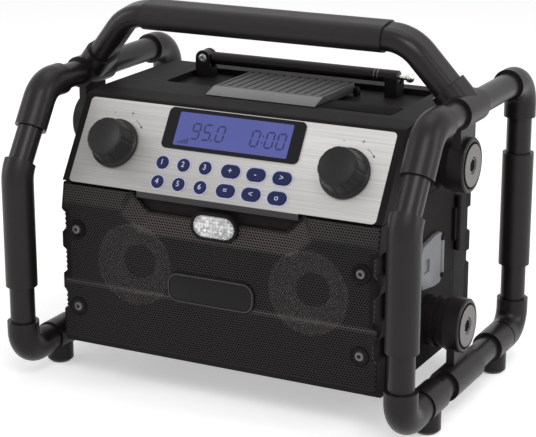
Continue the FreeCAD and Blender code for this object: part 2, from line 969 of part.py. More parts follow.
def lamp_prism(margin, y0, y1):
    half_width = lamp_half_width + margin
    radius = lamp_half_height + margin
    straight_half = half_width - radius
    shapes = [box(-straight_half, straight_half, y0, y1, lamp_z - radius, lamp_z + radius)]
    for x in (-straight_half, straight_half):
        shapes.append(rod(Vector(x, y0, lamp_z), back, radius, y1 - y0))
    return fuse(shapes)


def make_lamp():
    lens = lamp_prism(0.0, lamp_front_y, lamp_back_y)
    front = [edge for edge in lens.Edges if abs(edge.BoundBox.YMax - lamp_front_y) < 0.01]
    write("lamp_lens", lens.makeFillet(lamp_lens_round, front))


def make_front_housing():
    lip = panel_point(0, panel_length + bezel_rise, 0)
    top = panel_point(0, panel_length, 0)
    outline = [
        (body_front_y, body_bottom_z), (body_split_y, body_bottom_z),
        (body_split_y, body_top_z), (lip.y + bezel_run, lip.z + bezel_crest), (lip.y, lip.z),
        (panel_bottom_y, panel_bottom_z), (body_front_y, panel_bottom_z),
    ]
    shell = side_prism(outline, -body_half_width, body_half_width)
    inner_half = grille_half_width - grille_side_wall - nose_play
    nose = box(
        -inner_half, inner_half, notch_y + grille_wall + nose_play, body_front_y,
        notch_z - nose_drop, panel_bottom_z,
    )
    lamp_ring = lamp_prism(lamp_surround, lamp_front_y + lamp_ring_set, body_front_y)
    shell = fuse([shell, nose, lamp_ring])
    cavity = box(
        -body_half_width + body_wall, body_half_width - body_wall,
        body_front_y + body_wall, body_split_y + 1, body_bottom_z + body_wall, panel_bottom_z,
    )
    cavity = cavity.fuse(side_prism(
        [
            (body_front_y + body_wall, panel_bottom_z - 1), (body_split_y + 1, panel_bottom_z - 1),
            (body_split_y + 1, body_top_z - body_wall),
            (lip.y + 1.5 * bezel_run, body_top_z - body_wall - 1),
            (top.y + bezel_rise, top.z - body_wall - bezel_run),
        ],
        -body_half_width + body_wall, body_half_width - body_wall,
    ))
    shell = shell.cut(cavity)
    seat = rounded_box(
        -panel_half_width - panel_gap, panel_half_width + panel_gap, -panel_gap,
        panel_length + panel_gap, -panel_thickness - panel_seat_play, panel_seat_clear, panel_corner,
    )
    room = box(
        -panel_half_width + panel_ledge, panel_half_width - panel_ledge,
        panel_ledge_v, panel_length - panel_ledge_v, -panel_room_depth, 1.0,
    )
    shell = shell.cut(on_panel(seat)).cut(on_panel(room))
    lip_room = box(
        -panel_lip_half - panel_gap, panel_lip_half + panel_gap, panel_bottom_y - 1,
        panel_bottom_y + panel_thickness + panel_gap,
        panel_bottom_z - panel_lip_height - panel_gap, panel_bottom_z + 1,
    )
    shell = shell.cut(lip_room)
    for x in (-speaker_x, speaker_x):
        shell = shell.cut(
            rod(Vector(x, body_front_y - 1, speaker_z), back, speaker_hole_radius, body_wall + 2)
        )
    shell = shell.cut(lamp_prism(lamp_gap, lamp_front_y - 2, lamp_back_y))
    write("front_housing", shell)


def side_bosses():
    """Solid bosses inside the side walls that take the mount bolts."""
    shapes = []
    for z in (lower_mount_z, upper_mount_z):
        start = Vector(body_half_width - boss_set - boss_length, mount_y, z)
        boss = rod(start, right, boss_radius, boss_length)
        shapes.extend([boss, mirrored(boss)])
    return shapes


def make_rear_housing():
    front = body_split_y + split_gap
    plan = [
        (-body_half_width, front), (body_half_width, front), (body_half_width, side_break_y),
        (body_rear_half_width, body_rear_y), (-body_rear_half_width, body_rear_y),
        (-body_half_width, side_break_y),
    ]
    shell = plan_prism(plan, body_bottom_z, body_top_z)
    corners = edges_along(shell, up, lambda point: point.y > body_rear_y - 1)
    shell = shell.makeFillet(corner_radius, corners)
    slope = side_prism(
        [
            (body_rear_y - rear_edge_drop, body_top_z + 1), (body_rear_y + 1, body_top_z + 1),
            (body_rear_y + 1, body_top_z - rear_edge_drop),
            (body_rear_y, body_top_z - rear_edge_drop), (body_rear_y - rear_edge_drop, body_top_z),
        ],
        -body_half_width - 1, body_half_width + 1,
    )
    shell = shell.cut(slope)
    bumpers = []
    bumper_outer = body_rear_half_width + bumper_side
    for low, high in bumper_bands:
        outline = [
            (bumper_outer, body_rear_y - bumper_run),
            (bumper_outer, body_rear_y + bumper_proud - bumper_bevel),
            (bumper_outer - bumper_bevel, body_rear_y + bumper_proud),
            (body_rear_half_width - bumper_width + bumper_proud, body_rear_y + bumper_proud),
            (body_rear_half_width - bumper_width, body_rear_y - 1.0),
            (body_rear_half_width - bumper_width, body_rear_y - bumper_run),
        ]
        bumper = plan_prism(outline, low, high)
        bumpers.extend([bumper, mirrored(bumper)])
    shell = fuse([shell] + bumpers)
    cavity = box(
        -body_rear_half_width + body_wall, body_rear_half_width - body_wall,
        front - 1, body_rear_y - body_wall, body_bottom_z + body_wall,
        body_top_z - rear_edge_drop - body_wall,
    )
    bay = box(
        body_half_width - bay_depth - bay_wall, body_half_width,
        bay_front - bay_wall, bay_back + bay_wall, bay_low - bay_wall, bay_high + bay_wall,
    )
    door_frame = box(
        body_half_width - door_frame_depth, body_half_width - door_frame_set,
        door_front - door_frame_front, door_back + door_frame_back,
        door_low - door_frame_rim, door_high + door_frame_rim,
    )
    shell = fuse([shell.cut(cavity), bay, door_frame] + side_bosses())
    pocket = box(
        body_half_width - bay_depth, body_half_width + 1, bay_front, bay_back, bay_low, bay_high
    )
    door_seat = box(
        body_half_width - door_thickness - door_seat_gap, body_half_width + 1,
        door_front - door_gap, door_back + door_gap, door_low - door_gap, door_high + door_gap,
    )
    shell = shell.cut(pocket).cut(door_seat)
    deck = rounded_box(
        deck_left, deck_right, deck_front, deck_back, body_top_z - deck_depth, body_top_z + 1,
        deck_corner,
    )
    shell = shell.cut(deck)
    for z in (lower_mount_z, upper_mount_z):
        hole = rod(
            Vector(body_half_width - boss_length - boss_set - 1, mount_y, z), right,
            bolt_shank_radius + seat_gap, 2 * boss_length,
        )
        shell = shell.cut(hole).cut(mirrored(hole))
    write("rear_housing", fuse([shell] + lid_ears() + antenna_saddle() + door_ears()))


def lid_ears():
    floor = body_top_z - deck_depth
    bore = rod(
        Vector(2 * lid_left, lid_pivot_y, lid_pivot_z), right,
        lid_pin_radius + shaft_fit, 2 * (lid_right - lid_left),
    )
    ears = []
    for x0 in (lid_left - lid_clearance - lid_pin_length, lid_right + lid_clearance):
        foot = box(
            x0, x0 + lid_pin_length, lid_pivot_y - lid_barrel_radius,
            lid_pivot_y + lid_barrel_radius, floor - deck_lap, lid_pivot_z,
        )
        eye = rod(Vector(x0, lid_pivot_y, lid_pivot_z), right, lid_barrel_radius, lid_pin_length)
        ears.append(fuse([foot, eye]).cut(bore))
    return ears


def antenna_saddle():
    """Cradle that the lying antenna rests in."""
    outer = antenna_radius + saddle_wall
    floor = body_top_z - deck_depth
    post = box(
        saddle_x, saddle_x + saddle_length, antenna_y - outer, antenna_y + outer,
        floor - deck_lap, antenna_z,
    )
    sweep = rod(
        Vector(saddle_x - 1, antenna_y, antenna_z), right, antenna_radius + saddle_play, saddle_length + 2
    )
    return [post.cut(sweep)]


def barrel_bar(x, y, radius, z0, z1):
    return rod(Vector(x, y, z0), up, radius, z1 - z0)


def door_knuckles():
    """Heights of the housing's two knuckles and, between them, the door's own."""
    low = (door_barrel_low, door_barrel_low + door_knuckle)
    high = (door_barrel_high - door_knuckle, door_barrel_high)
    middle = (low[1] + door_gap, high[0] - door_gap)
    return low, middle, high


def door_ears():
    low, _, high = door_knuckles()
    ears = []
    for z0, z1 in (low, high):
        eye = barrel_bar(door_pivot_x, door_pivot_y, door_barrel_radius, z0, z1)
        foot = box(
            body_half_width - 2, door_pivot_x, door_pivot_y, door_pivot_y + door_barrel_radius,
            z0, z1,
        )
        bore = barrel_bar(
            door_pivot_x, door_pivot_y, door_pin_radius + door_pin_fit, z0 - 1, z1 + 1
        )
        ears.append(fuse([eye, foot]).cut(bore))
    return ears


def make_door():
    low, middle, high = door_knuckles()
    plate = box(
        body_half_width - door_thickness, body_half_width, door_front, door_back,
        door_low, door_high,
    )
    knuckle = barrel_bar(door_pivot_x, door_pivot_y, door_barrel_radius, *middle)
    arm_front = door_back - door_arm_run
    arm_root = box(body_half_width - door_arm_root, door_pivot_x, arm_front, door_back, *middle)
    arm = box(body_half_width + latch_gap, door_pivot_x, arm_front, door_pivot_y, *middle)
    pin = barrel_bar(door_pivot_x, door_pivot_y, door_pin_radius, low[0], high[1])
    latch_ears = []
    for z0 in (latch_low + latch_bevel, latch_high - 2 * latch_bevel):
        ear = box(
            body_half_width - door_arm_root, latch_pivot_x, latch_pivot_y - latch_barrel_radius,
            latch_pivot_y + latch_barrel_radius, z0, z0 + latch_bevel,
        )
        eye = barrel_bar(
            latch_pivot_x, latch_pivot_y, latch_barrel_radius, z0, z0 + latch_bevel
        )
        latch_ears.append(fuse([ear, eye]))
    latch_pin = barrel_bar(
        latch_pivot_x, latch_pivot_y, latch_pin_radius,
        latch_low + latch_bevel, latch_high - latch_bevel,
    )
    write("side_door", fuse([plate, knuckle, arm_root, arm, pin] + latch_ears + [latch_pin]))


def make_latch():
    inner = body_half_width + latch_gap
    outer = inner + latch_thickness
    back_end = latch_pivot_y
    tongue = latch_front + latch_tongue
    shoulder = tongue + latch_bevel
    middle = (latch_low + latch_high) / 2
    half = (latch_high - latch_low) / 2
    outline = []
    for side in (-1, 1):
        edge = [
            (latch_front, half - latch_tongue_inset), (tongue, half - latch_tongue_inset),
            (shoulder, half - latch_bevel), (latch_front + latch_ramp, half),
            (back_end - latch_bevel, half), (back_end, half - latch_bevel),
        ]
        outline.extend([(y, middle + side * rise) for y, rise in edge[::-side]])
    plate = side_prism(outline, inner, outer)
    barrel = barrel_bar(
        latch_pivot_x, latch_pivot_y, latch_barrel_radius,
        latch_low + latch_bevel, latch_high - latch_bevel,
    )
    plate = fuse([plate, barrel])
    grip = box(
        inner + latch_thickness / 2, outer + 1, latch_front + latch_grip_start,
        latch_front + latch_grip_start + 2 * latch_grip_half,
        middle - latch_grip_half, middle + latch_grip_half,
    )
    plate = plate.cut(grip)
    bore = barrel_bar(
        latch_pivot_x, latch_pivot_y, latch_pin_radius + door_pin_fit, latch_low - 1, latch_high + 1
    )
    plate = plate.cut(bore)
    for z0 in (latch_low + latch_bevel, latch_high - 2 * latch_bevel):
        plate = plate.cut(box(
            inner - 1, latch_pivot_x + latch_barrel_radius + 1,
            latch_pivot_y - latch_barrel_radius - latch_gap,
            back_end + latch_barrel_radius + 1, z0 - latch_gap, z0 + latch_bevel + latch_gap,
        ))
    write("side_latch", plate)


def make_battery():
    pack = rounded_box(
        body_half_width - bay_depth + battery_gap, body_half_width - door_thickness - battery_end_gap,
        bay_front + battery_gap, bay_back - battery_gap,
        bay_low + battery_gap, bay_high - battery_gap, battery_corner, right,
    )
    write("battery_pack", pack)


def make_lid():
    inner_floor = body_top_z - deck_depth + lid_clearance
    rest = body_top_z + lid_clearance
    outline = [
        (lid_front, rest), (deck_front + lid_skirt_run, rest),
        (deck_front + lid_skirt_run, inner_floor + lid_skirt_height),
        (lid_pivot_y - lid_barrel_radius - lid_skirt_run, inner_floor + lid_skirt_height),
        (lid_pivot_y, lid_pivot_z), (lid_pivot_y, lid_top_z),
        (lid_ramp_back, lid_top_z), (lid_front, rest + lid_nose),
    ]
    body = side_prism(outline, lid_left, lid_right)
    length = lid_right - lid_left
    barrel = rod(Vector(lid_left, lid_pivot_y, lid_pivot_z), right, lid_barrel_radius, length)
    pin = rod(
        Vector(lid_left - lid_clearance - lid_pin_length, lid_pivot_y, lid_pivot_z), right,
        lid_pin_radius, length + 2 * (lid_clearance + lid_pin_length),
    )
    body = fuse([body, barrel, pin])
    pitch = length / lid_ribs
    for step in range(lid_ribs):
        x = lid_left + pitch * (step + 0.5)
        body = body.cut(box(
            x - lid_groove / 2, x + lid_groove / 2, lid_ramp_back + lid_rib_start, lid_pivot_y + 1,
            lid_top_z - lid_groove_depth, lid_top_z + 1,
        ))
    write("top_lid", body)


def make_antenna():
    floor = body_top_z - deck_depth
    ear_inner = antenna_knuckle_half + antenna_ear_gap
    ear_outer = ear_inner + antenna_ear
    base_half = antenna_knuckle_radius + antenna_foot_edge
    pivot = Vector(antenna_x, antenna_y, antenna_z)
    foot = rounded_box(
        antenna_x - base_half, antenna_x + base_half, antenna_y - ear_outer, antenna_y + ear_outer,
        floor, antenna_z - antenna_knuckle_radius - antenna_foot_edge, antenna_foot_corner,
    )
    ears = []
    for y0 in (antenna_y - ear_outer, antenna_y + ear_inner):
        ears.append(rod(Vector(antenna_x, y0, antenna_z), back, antenna_knuckle_radius, antenna_ear))
        ears.append(box(
            antenna_x - antenna_knuckle_radius, antenna_x + antenna_knuckle_radius,
            y0, y0 + antenna_ear, antenna_z - antenna_knuckle_radius - antenna_ear_foot, antenna_z,
        ))
    pin = rod(
        Vector(antenna_x, antenna_y - ear_outer, antenna_z), back,
        antenna_pin_radius, 2 * ear_outer,
    )
    write("antenna_base", fuse([foot] + ears + [pin]))
    knuckle = rod(
        Vector(antenna_x, antenna_y - antenna_knuckle_half, antenna_z), back,
        antenna_knuckle_radius - antenna_knuckle_play, 2 * antenna_knuckle_half,
    )
    neck_start = antenna_x + antenna_knuckle_radius + antenna_neck_gap
    neck = box(
        antenna_x, neck_start + antenna_neck_lap, antenna_y - antenna_knuckle_half,
        antenna_y + antenna_knuckle_half,
        antenna_z - antenna_neck_half, antenna_z + antenna_neck_half,
    )
    sheath = rod(
        Vector(neck_start, antenna_y, antenna_z), right, antenna_radius, antenna_end_x - neck_start
    )
    mouth = [edge for edge in sheath.Edges if edge.Closed and edge.CenterOfMass.x > 0]
    sheath = sheath.makeFillet(antenna_mouth_round, mouth[:1])
    whole = fuse([knuckle, neck, sheath])
    hole = rod(
        pivot - back * 2 * ear_outer, back, antenna_pin_radius + antenna_pin_fit, 4 * ear_outer
    )
    bore_start = antenna_end_x - antenna_inner_length
    bore = rod(
        Vector(bore_start, antenna_y, antenna_z), right, antenna_bore, antenna_inner_length + 1
    )
    write("antenna_rod", whole.cut(hole).cut(bore))
    inner_start = bore_start + antenna_bore_end
    tip_end = antenna_end_x + antenna_tip_reach
    inner = rod(
        Vector(inner_start, antenna_y, antenna_z), right, antenna_tip_radius,
        tip_end - antenna_ball_radius - inner_start,
    )
    ball = Part.makeSphere(
        antenna_ball_radius, Vector(tip_end - antenna_ball_radius, antenna_y, antenna_z)
    )
    write("antenna_tip", inner.fuse(ball))


def make_mounts():
    dampers = []
    bolts = []
    start_x = body_half_width + seat_gap
    length = mount_boss_inner_x - seat_gap - start_x
    pitch = length / (damper_grooves + 1)
    for z in (lower_mount_z, upper_mount_z):
        damper = rod(mount_centre(z, start_x), right, damper_radius, length)
        for step in range(damper_grooves):
            x = start_x + pitch * (step + 1) - damper_groove_width / 2
            ring = rod(mount_centre(z, x), right, damper_radius + 1, damper_groove_width)
            core = rod(
                mount_centre(z, x), right, damper_radius - damper_groove_depth, damper_groove_width
            )
            damper = damper.cut(ring.cut(core))
        hole = rod(mount_centre(z, start_x - 1), right, bolt_shank_radius + seat_gap, length + 2)
        dampers.append(damper.cut(hole))
        seat = mount_boss_outer_x - bolt_flange_recess
        flange = rod(mount_centre(z, seat), right, bolt_flange_radius, bolt_flange_thickness)
        shank = rod(
            mount_centre(z, body_half_width - boss_length), right, bolt_shank_radius,
            seat - body_half_width + boss_length,
        )
        face = seat + bolt_flange_thickness
        hexagon = Part.makePolygon([
            mount_centre(z, face - bolt_socket_depth) + Vector(
                0, bolt_socket_radius * math.cos(math.radians(60 * k)),
                bolt_socket_radius * math.sin(math.radians(60 * k)),
            )
            for k in range(7)
        ])
        recess = Part.Face(hexagon).extrude(Vector(bolt_socket_depth + 1, 0, 0))
        bolts.append(fuse([flange, shank]).cut(recess))
    for side, copies in (("right", dampers), ("left", [mirrored(shape) for shape in dampers])):
        write("dampers_" + side, Part.Compound(copies))
    write("mount_bolts", Part.Compound(bolts + [mirrored(shape) for shape in bolts]))


def ring_solid(x, profile):
    """Revolves an outline of (distance behind the baffle, radius) about a speaker axis."""
    start = body_front_y + body_wall
    face = polygon([Vector(x + r, start + d, speaker_z) for d, r in profile])
    return face.revolve(Vector(x, start, speaker_z), back, 360)


def make_speakers():
    frames = []
    cones = []
    rear = speaker_depth + magnet_depth
    throat = cone_depth + cone_wall
    for x in (-speaker_x, speaker_x):
        frames.append(ring_solid(x, [
            (speaker_seat, speaker_hole_radius - 1), (speaker_seat, speaker_flange_radius),
            (speaker_flange, speaker_flange_radius), (speaker_flange, cone_radius + basket_step),
            (speaker_depth, basket_radius + basket_flare), (speaker_depth, magnet_radius),
            (rear, magnet_radius), (rear, 0),
            (speaker_depth - basket_wall, 0), (speaker_depth - basket_wall, basket_radius),
            (speaker_flange - basket_lip, speaker_hole_radius - 1),
        ]))
        cones.append(ring_solid(x, [
            (cone_roll, cone_radius + cone_edge), (2 * cone_roll, cone_radius + cone_edge),
            (2 * cone_roll, cone_radius + cone_roll - cone_roll_width),
            (throat, cone_throat_radius), (throat, 0), (cone_depth - cap_rise, 0),
            (cone_depth - cap_set, cone_throat_radius - cap_edge),
            (cone_depth, cone_throat_radius - cone_wall / 2),
            (cone_roll, cone_radius - cone_roll_width),
        ]))
    write("speaker_frames", Part.Compound(frames))
    write("speaker_cones", Part.Compound(cones))


make_cage_tubes()
make_fittings()
make_sleeves()
make_brackets()
make_carry_handle()
make_panel()
make_display()
make_buttons()
make_knobs()
make_grille()
make_lamp()
make_front_housing()
make_rear_housing()
make_door()
make_latch()
make_battery()
make_lid()
make_antenna()
make_mounts()
make_speakers()
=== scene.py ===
import json
import math
from functools import cache

import bmesh
import bpy
from bpy.props import FloatProperty, FloatVectorProperty, PointerProperty
from mathutils import Matrix, Vector


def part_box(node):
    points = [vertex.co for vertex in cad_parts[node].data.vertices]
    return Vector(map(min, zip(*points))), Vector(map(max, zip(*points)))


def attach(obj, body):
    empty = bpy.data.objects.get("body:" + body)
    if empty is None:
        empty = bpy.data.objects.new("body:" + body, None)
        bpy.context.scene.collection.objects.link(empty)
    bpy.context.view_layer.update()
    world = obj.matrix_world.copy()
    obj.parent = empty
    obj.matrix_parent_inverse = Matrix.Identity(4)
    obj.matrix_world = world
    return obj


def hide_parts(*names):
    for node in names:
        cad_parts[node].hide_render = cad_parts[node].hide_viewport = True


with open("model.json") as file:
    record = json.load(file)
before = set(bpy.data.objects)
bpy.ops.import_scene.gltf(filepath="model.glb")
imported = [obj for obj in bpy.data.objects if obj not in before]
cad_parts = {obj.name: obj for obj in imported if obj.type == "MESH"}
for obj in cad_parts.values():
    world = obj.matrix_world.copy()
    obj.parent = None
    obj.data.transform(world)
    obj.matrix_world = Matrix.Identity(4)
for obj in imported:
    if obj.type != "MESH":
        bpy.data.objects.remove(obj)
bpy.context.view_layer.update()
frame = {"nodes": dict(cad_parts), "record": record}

bl_info = {
    "name": "Jobsite radio",
    "version": (1, 0, 0),
    "blender": (4, 5, 0),
    "location": "View3D > Sidebar > Radio",
    "description": "Dresses a caged jobsite radio with its finishes and small parts",
    "category": "Object",
}

MM = 0.001
NODES = frame["nodes"]
PANEL_LOW, PANEL_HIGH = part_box("control_panel")
GRILLE_LOW, GRILLE_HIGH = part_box("grille")
LAMP_LOW, LAMP_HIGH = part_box("lamp_lens")
LAMP_CENTRE = (LAMP_LOW + LAMP_HIGH) / 2
LAMP_RADIUS = (LAMP_HIGH.z - LAMP_LOW.z) / 2
LAMP_HALF = (LAMP_HIGH.x - LAMP_LOW.x) / 2


def size(name, description, millimetres):
    """A length that a user would change, kept in metres."""
    return FloatProperty(name=name, description=description, default=millimetres * MM,
                         unit="LENGTH", precision=5)


def angle(name, description, degrees):
    """An angle that a user would change."""
    return FloatProperty(name=name, description=description, default=math.radians(degrees),
                         subtype="ANGLE")


def number(name, description, value, **limits):
    """A plain number that a user would change."""
    return FloatProperty(name=name, description=description, default=value, **limits)


def colour(name, description, rgb):
    """A finish colour that a user would change."""
    return FloatVectorProperty(name=name, description=description, default=rgb,
                               subtype="COLOR", size=3, min=0.0, max=1.0)


class RadioSizes(bpy.types.PropertyGroup):
    """Sizes and places of the pieces"""
    panel_bottom_y: size("Panel foot", "Front of the control panel's lower edge", -106.95)
    panel_bottom_z: size("Panel foot height", "Height of the panel's lower edge", 187.6)
    panel_tilt: angle("Panel tilt", "Lean of the panel from the vertical", 32.4)
    hole_pitch: size("Hole pitch", "Distance between the grille's holes", 2.6)
    hole_share: number("Hole share", "Hole width as a share of the pitch", 0.60,
                       subtype="FACTOR", min=0.2, max=0.8)
    sheet_thickness: size("Sheet thickness", "Thickness of the grille's sheet", 0.8)
    field_y: size("Grille field", "Front of the grille's flat field", -111.25)
    brow_top_y: size("Brow top", "Front of the grille's brow at its upper edge", -106.95)
    brow_z: size("Brow crease", "Height of the crease at the sides", 163.5)
    crease_z: size("Crease", "Height of the fine step across the field", 94.0)
    crease_step: size("Crease step", "Depth of the fine step across the field", 0.9)
    dip_z: size("Dip crease", "Height of the crease in the middle", 148.0)
    notch_z: size("Notch", "Height of the notch below the panel", 169.0)
    notch_y: size("Notch depth", "Front of the sheet at the notch", -104.75)
    notch_outer: size("Notch top half width", "Half width of the notch at its top", 84.7)
    notch_inner: size("Notch half width", "Half width of the notch at its foot", 68.0)
    brow_outer: size("Dip top half width", "Half width of the dip at its top", 95.0)
    brow_inner: size("Dip half width", "Half width of the dip at its foot", 76.0)
    screw_radius: size("Grille screw", "Radius of the grille screws' heads", 4.4)
    badge_half_width: size("Badge half width", "Half the width of the bare badge", 43.0)
    badge_half_height: size("Badge half height", "Half the height of the bare badge", 14.0)
    badge_x: size("Badge place", "Badge's middle across the grille", -3.0)
    badge_z: size("Badge height", "Height of the badge's middle", 106.5)
    cone_front_y: size("Cone front", "Front of the speakers' surrounds", -103.0)
    speaker_x: size("Speaker place", "Distance of each speaker from the middle", 86.0)
    speaker_z: size("Speaker height", "Height of the speakers' middles", 117.0)
    washer_radius: size("Washer", "Radius of the bright washers on the mounts", 18.6)
    washer_bore: size("Washer bore", "Radius of the dark socket in the washers", 7.6)


class RadioColours(bpy.types.PropertyGroup):
    """Colours of the finishes"""
    tube: colour("Tube", "Coated cage tubes", (0.0085, 0.0072, 0.0068))
    fitting: colour("Fitting", "Moulded elbows and tees", (0.0078, 0.0064, 0.0060))
    sheet: colour("Grille sheet", "Coated perforated sheet", (0.0085, 0.0076, 0.0073))
    ramp: colour("Lid ramp", "Pale front edge of the lid", (0.17, 0.17, 0.17))
    housing: colour("Housing", "Grained body plastic", (0.0065, 0.0056, 0.0055))
    silver: colour("Panel", "Brushed control panel", (0.415, 0.405, 0.395))
    glass: colour("Window", "Gloss black display frame", (0.010, 0.010, 0.012))
    backlight: colour("Backlight", "Lit display", (0.050, 0.058, 0.195))
    segment: colour("Segments", "Dark display segments", (0.020, 0.021, 0.085))
    button: colour("Buttons", "Navy button caps", (0.012, 0.016, 0.060))
    ring: colour("Button rings", "Rings round the buttons", (0.42, 0.43, 0.62))
    legend: colour("Legends", "Pale figures on the buttons", (0.50, 0.51, 0.66))
    print_ink: colour("Panel print", "Dark marks on the panel", (0.06, 0.06, 0.07))
    knob: colour("Knobs", "Charcoal knobs", (0.013, 0.013, 0.0135))
    washer: colour("Mount bolts", "Satin washers on the mounts", (0.175, 0.162, 0.158))
    grey: colour("Grey plastic", "Top lid and trim", (0.043, 0.043, 0.043))
    latch: colour("Latch", "Pale grey latch", (0.152, 0.155, 0.166))
    cone: colour("Cones", "Speaker cones behind the grille", (0.46, 0.43, 0.42))
    metal: colour("Bright metal", "Antenna tip and screws", (0.78, 0.76, 0.70))


class StageSettings(bpy.types.PropertyGroup):
    """Camera, floor and background"""
    azimuth: angle("Azimuth", "Camera's turn about the radio", 27.28)
    elevation: angle("Elevation", "Camera's height angle", 16.55)
    distance: size("Distance", "Camera's distance from the radio", 1654.2)
    target_x: size("Target across", "Aim point across the radio", -7.24)
    target_y: size("Target depth", "Aim point along the radio's depth", 5.25)
    target_z: size("Target height", "Aim point's height", 142.1)
    focal: number("Focal length", "Lens in millimetres on a 36 mm sensor", 121.07, min=10.0)
    floor_tone: colour("Floor", "Pale floor and backdrop", (0.88, 0.88, 0.88))
    floor_lift: number("Floor lift", "Light that the camera sees in the floor itself", 0.45, min=0.0)
    world_level: number("World level", "Plain light from all round", 0.45, min=0.0)


def sizes():
    """The sizes that the scene holds."""
    return bpy.context.scene.radio_sizes


def colours():
    """The finish colours that the scene holds."""
    return bpy.context.scene.radio_colours


# Node helpers


def set_inputs(node, inputs):
    """Links each named or numbered input to a socket, or sets it to a value."""
    for key, value in inputs.items():
        if isinstance(value, bpy.types.NodeSocket):
            node.id_data.links.new(value, node.inputs[key])
        else:
            node.inputs[key].default_value = value


def add_node(tree, kind, inputs=None, **settings):
    """A node with its settings made and its inputs fed."""
    node = tree.nodes.new(kind)
    for key, value in settings.items():
        setattr(node, key, value)
    set_inputs(node, inputs or {})
    return node


def maths(tree, operation, *terms, clamp=False):
    """What a Math node makes of sockets and plain numbers."""
    return add_node(tree, "ShaderNodeMath", dict(enumerate(terms)),
                    operation=operation, use_clamp=clamp).outputs[0]


def coordinates(tree, kind="Object"):
    """Where a point lies, or the way its surface faces."""
    return add_node(tree, "ShaderNodeTexCoord").outputs[kind]


def noise(tree, vector, scale, detail, roughness=0.5):
    """A value between nought and one that wanders over the surface."""
    return add_node(tree, "ShaderNodeTexNoise", {
        "Vector": vector, "Scale": scale, "Detail": detail, "Roughness": roughness}).outputs["Fac"]


def ranged(tree, value, low, high, start=0.0, end=1.0):
    """A value that goes from low to high while the one given goes from start to end."""
    return add_node(tree, "ShaderNodeMapRange", {
        "Value": value, "From Min": start, "From Max": end, "To Min": low, "To Max": high}).outputs[0]


def scaled(tree, rgb, factor):
    """A colour times a value."""
    return add_node(tree, "ShaderNodeVectorMath", {0: rgb, 3: factor}, operation="SCALE").outputs[0]


def mixed(tree, factor, first, second, blend="MIX"):
    """A blend of two colours."""
    return add_node(tree, "ShaderNodeMix", {0: factor, 6: first, 7: second},
                    data_type="RGBA", blend_type=blend).outputs[2]


# Shared shader groups


def surface_group(name, numbers):
    """A group that turns a colour and named numbers into a colour, a roughness and a height."""
    tree = bpy.data.node_groups.new(name, "ShaderNodeTree")
    tree.interface.new_socket("Colour", in_out="INPUT", socket_type="NodeSocketColor")
    for label, default in numbers.items():
        socket = tree.interface.new_socket(label, in_out="INPUT", socket_type="NodeSocketFloat")
        socket.default_value = default
    for label, kind in (("Colour", "Color"), ("Roughness", "Float"), ("Height", "Float")):
        tree.interface.new_socket(label, in_out="OUTPUT", socket_type="NodeSocket" + kind)
    return tree, tree.nodes.new("NodeGroupInput").outputs, tree.nodes.new("NodeGroupOutput")


@cache
def moulded_grain():
    """Fine spark-eroded grain with slow tone changes and handling marks."""
    tree, given, end = surface_group(
        "Moulded grain", {"Grain Scale": 1800.0, "Roughness": 0.5, "Marks": 0.12})
    place = coordinates(tree)
    cloud = noise(tree, place, 22.0, 4.0)
    rub = maths(tree, "SUBTRACT", noise(tree, place, 75.0, 6.0, 0.7), 0.5)
    marks = maths(tree, "MULTIPLY", rub, given["Marks"])
    set_inputs(end, {
        "Colour": mixed(tree, cloud, given["Colour"], (1.5, 1.5, 1.5, 1), "MULTIPLY"),
        "Roughness": maths(tree, "ADD", given["Roughness"], marks, clamp=True),
        "Height": noise(tree, place, given["Grain Scale"], 2.0),
    })
    return tree


@cache
def brushed_lines():
    """Long fine scratches along X with a slow change of tone across the sheet."""
    tree, given, end = surface_group("Brushed lines", {"Roughness": 0.3, "Contrast": 0.2})
    place = coordinates(tree)
    stretch = add_node(tree, "ShaderNodeMapping", {"Vector": place, "Scale": (7.0, 800.0, 800.0)})
    lines = noise(tree, stretch.outputs[0], 1.0, 3.0)
    fine = ranged(tree, lines, 0.70, 1.26)
    slow = ranged(tree, noise(tree, place, 5.0, 2.0), 0.94, 1.06)
    uneven = maths(tree, "MULTIPLY", lines, given["Contrast"])
    set_inputs(end, {
        "Colour": scaled(tree, given["Colour"], maths(tree, "MULTIPLY", fine, slow)),
        "Roughness": maths(tree, "ADD", given["Roughness"], uneven, clamp=True),
        "Height": lines,
    })
    return tree


# Materials

BUMP_DEPTH = 0.1 * MM
PANEL_RIM = 0.5 * MM
# Weight of height in the panel's painted light
HEIGHT_SHARE = 3.0
LENS_CELLS = 380.0


def finish(name, group, given, bump, shader):
    """A material whose colour, roughness and bump come from one shared group."""
    made = bpy.data.materials.new(name)
    made.use_nodes = True
    tree = made.node_tree
    detail = add_node(tree, "ShaderNodeGroup", given, node_tree=group).outputs
    relief = add_node(tree, "ShaderNodeBump", {
        "Strength": bump, "Distance": BUMP_DEPTH, "Height": detail["Height"]})
    set_inputs(tree.nodes["Principled BSDF"], {
        "Base Color": detail["Colour"], "Roughness": detail["Roughness"],
        "Normal": relief.outputs[0], **shader})
    return made


def plastic(name, rgb, roughness, bump, grain, gloss=0.3, marks=0.12, **shader):
    """A grained plastic or coating."""
    given = {"Colour": (*rgb, 1), "Roughness": roughness, "Grain Scale": grain, "Marks": marks}
    return finish(name, moulded_grain(), given, bump, {"Specular IOR Level": gloss, **shader})


def brushed(name, rgb, roughness, bump, metallic=0.0, **shader):
    """A brushed metal or a clear moulding with fine lines."""
    given = {"Colour": (*rgb, 1), "Roughness": roughness}
    return finish(name, brushed_lines(), given, bump, {"Metallic": metallic, **shader})


def tinted(made, tone, low, high, start=0.0, end=1.0):
    """Scales a material's colour from low to high as its tone goes from start to end."""
    tree = made.node_tree
    shade = tree.nodes["Principled BSDF"]
    rgb = shade.inputs["Base Color"].links[0].from_socket
    set_inputs(shade, {"Base Color": scaled(tree, rgb, ranged(tree, tone(tree), low, high, start, end))})


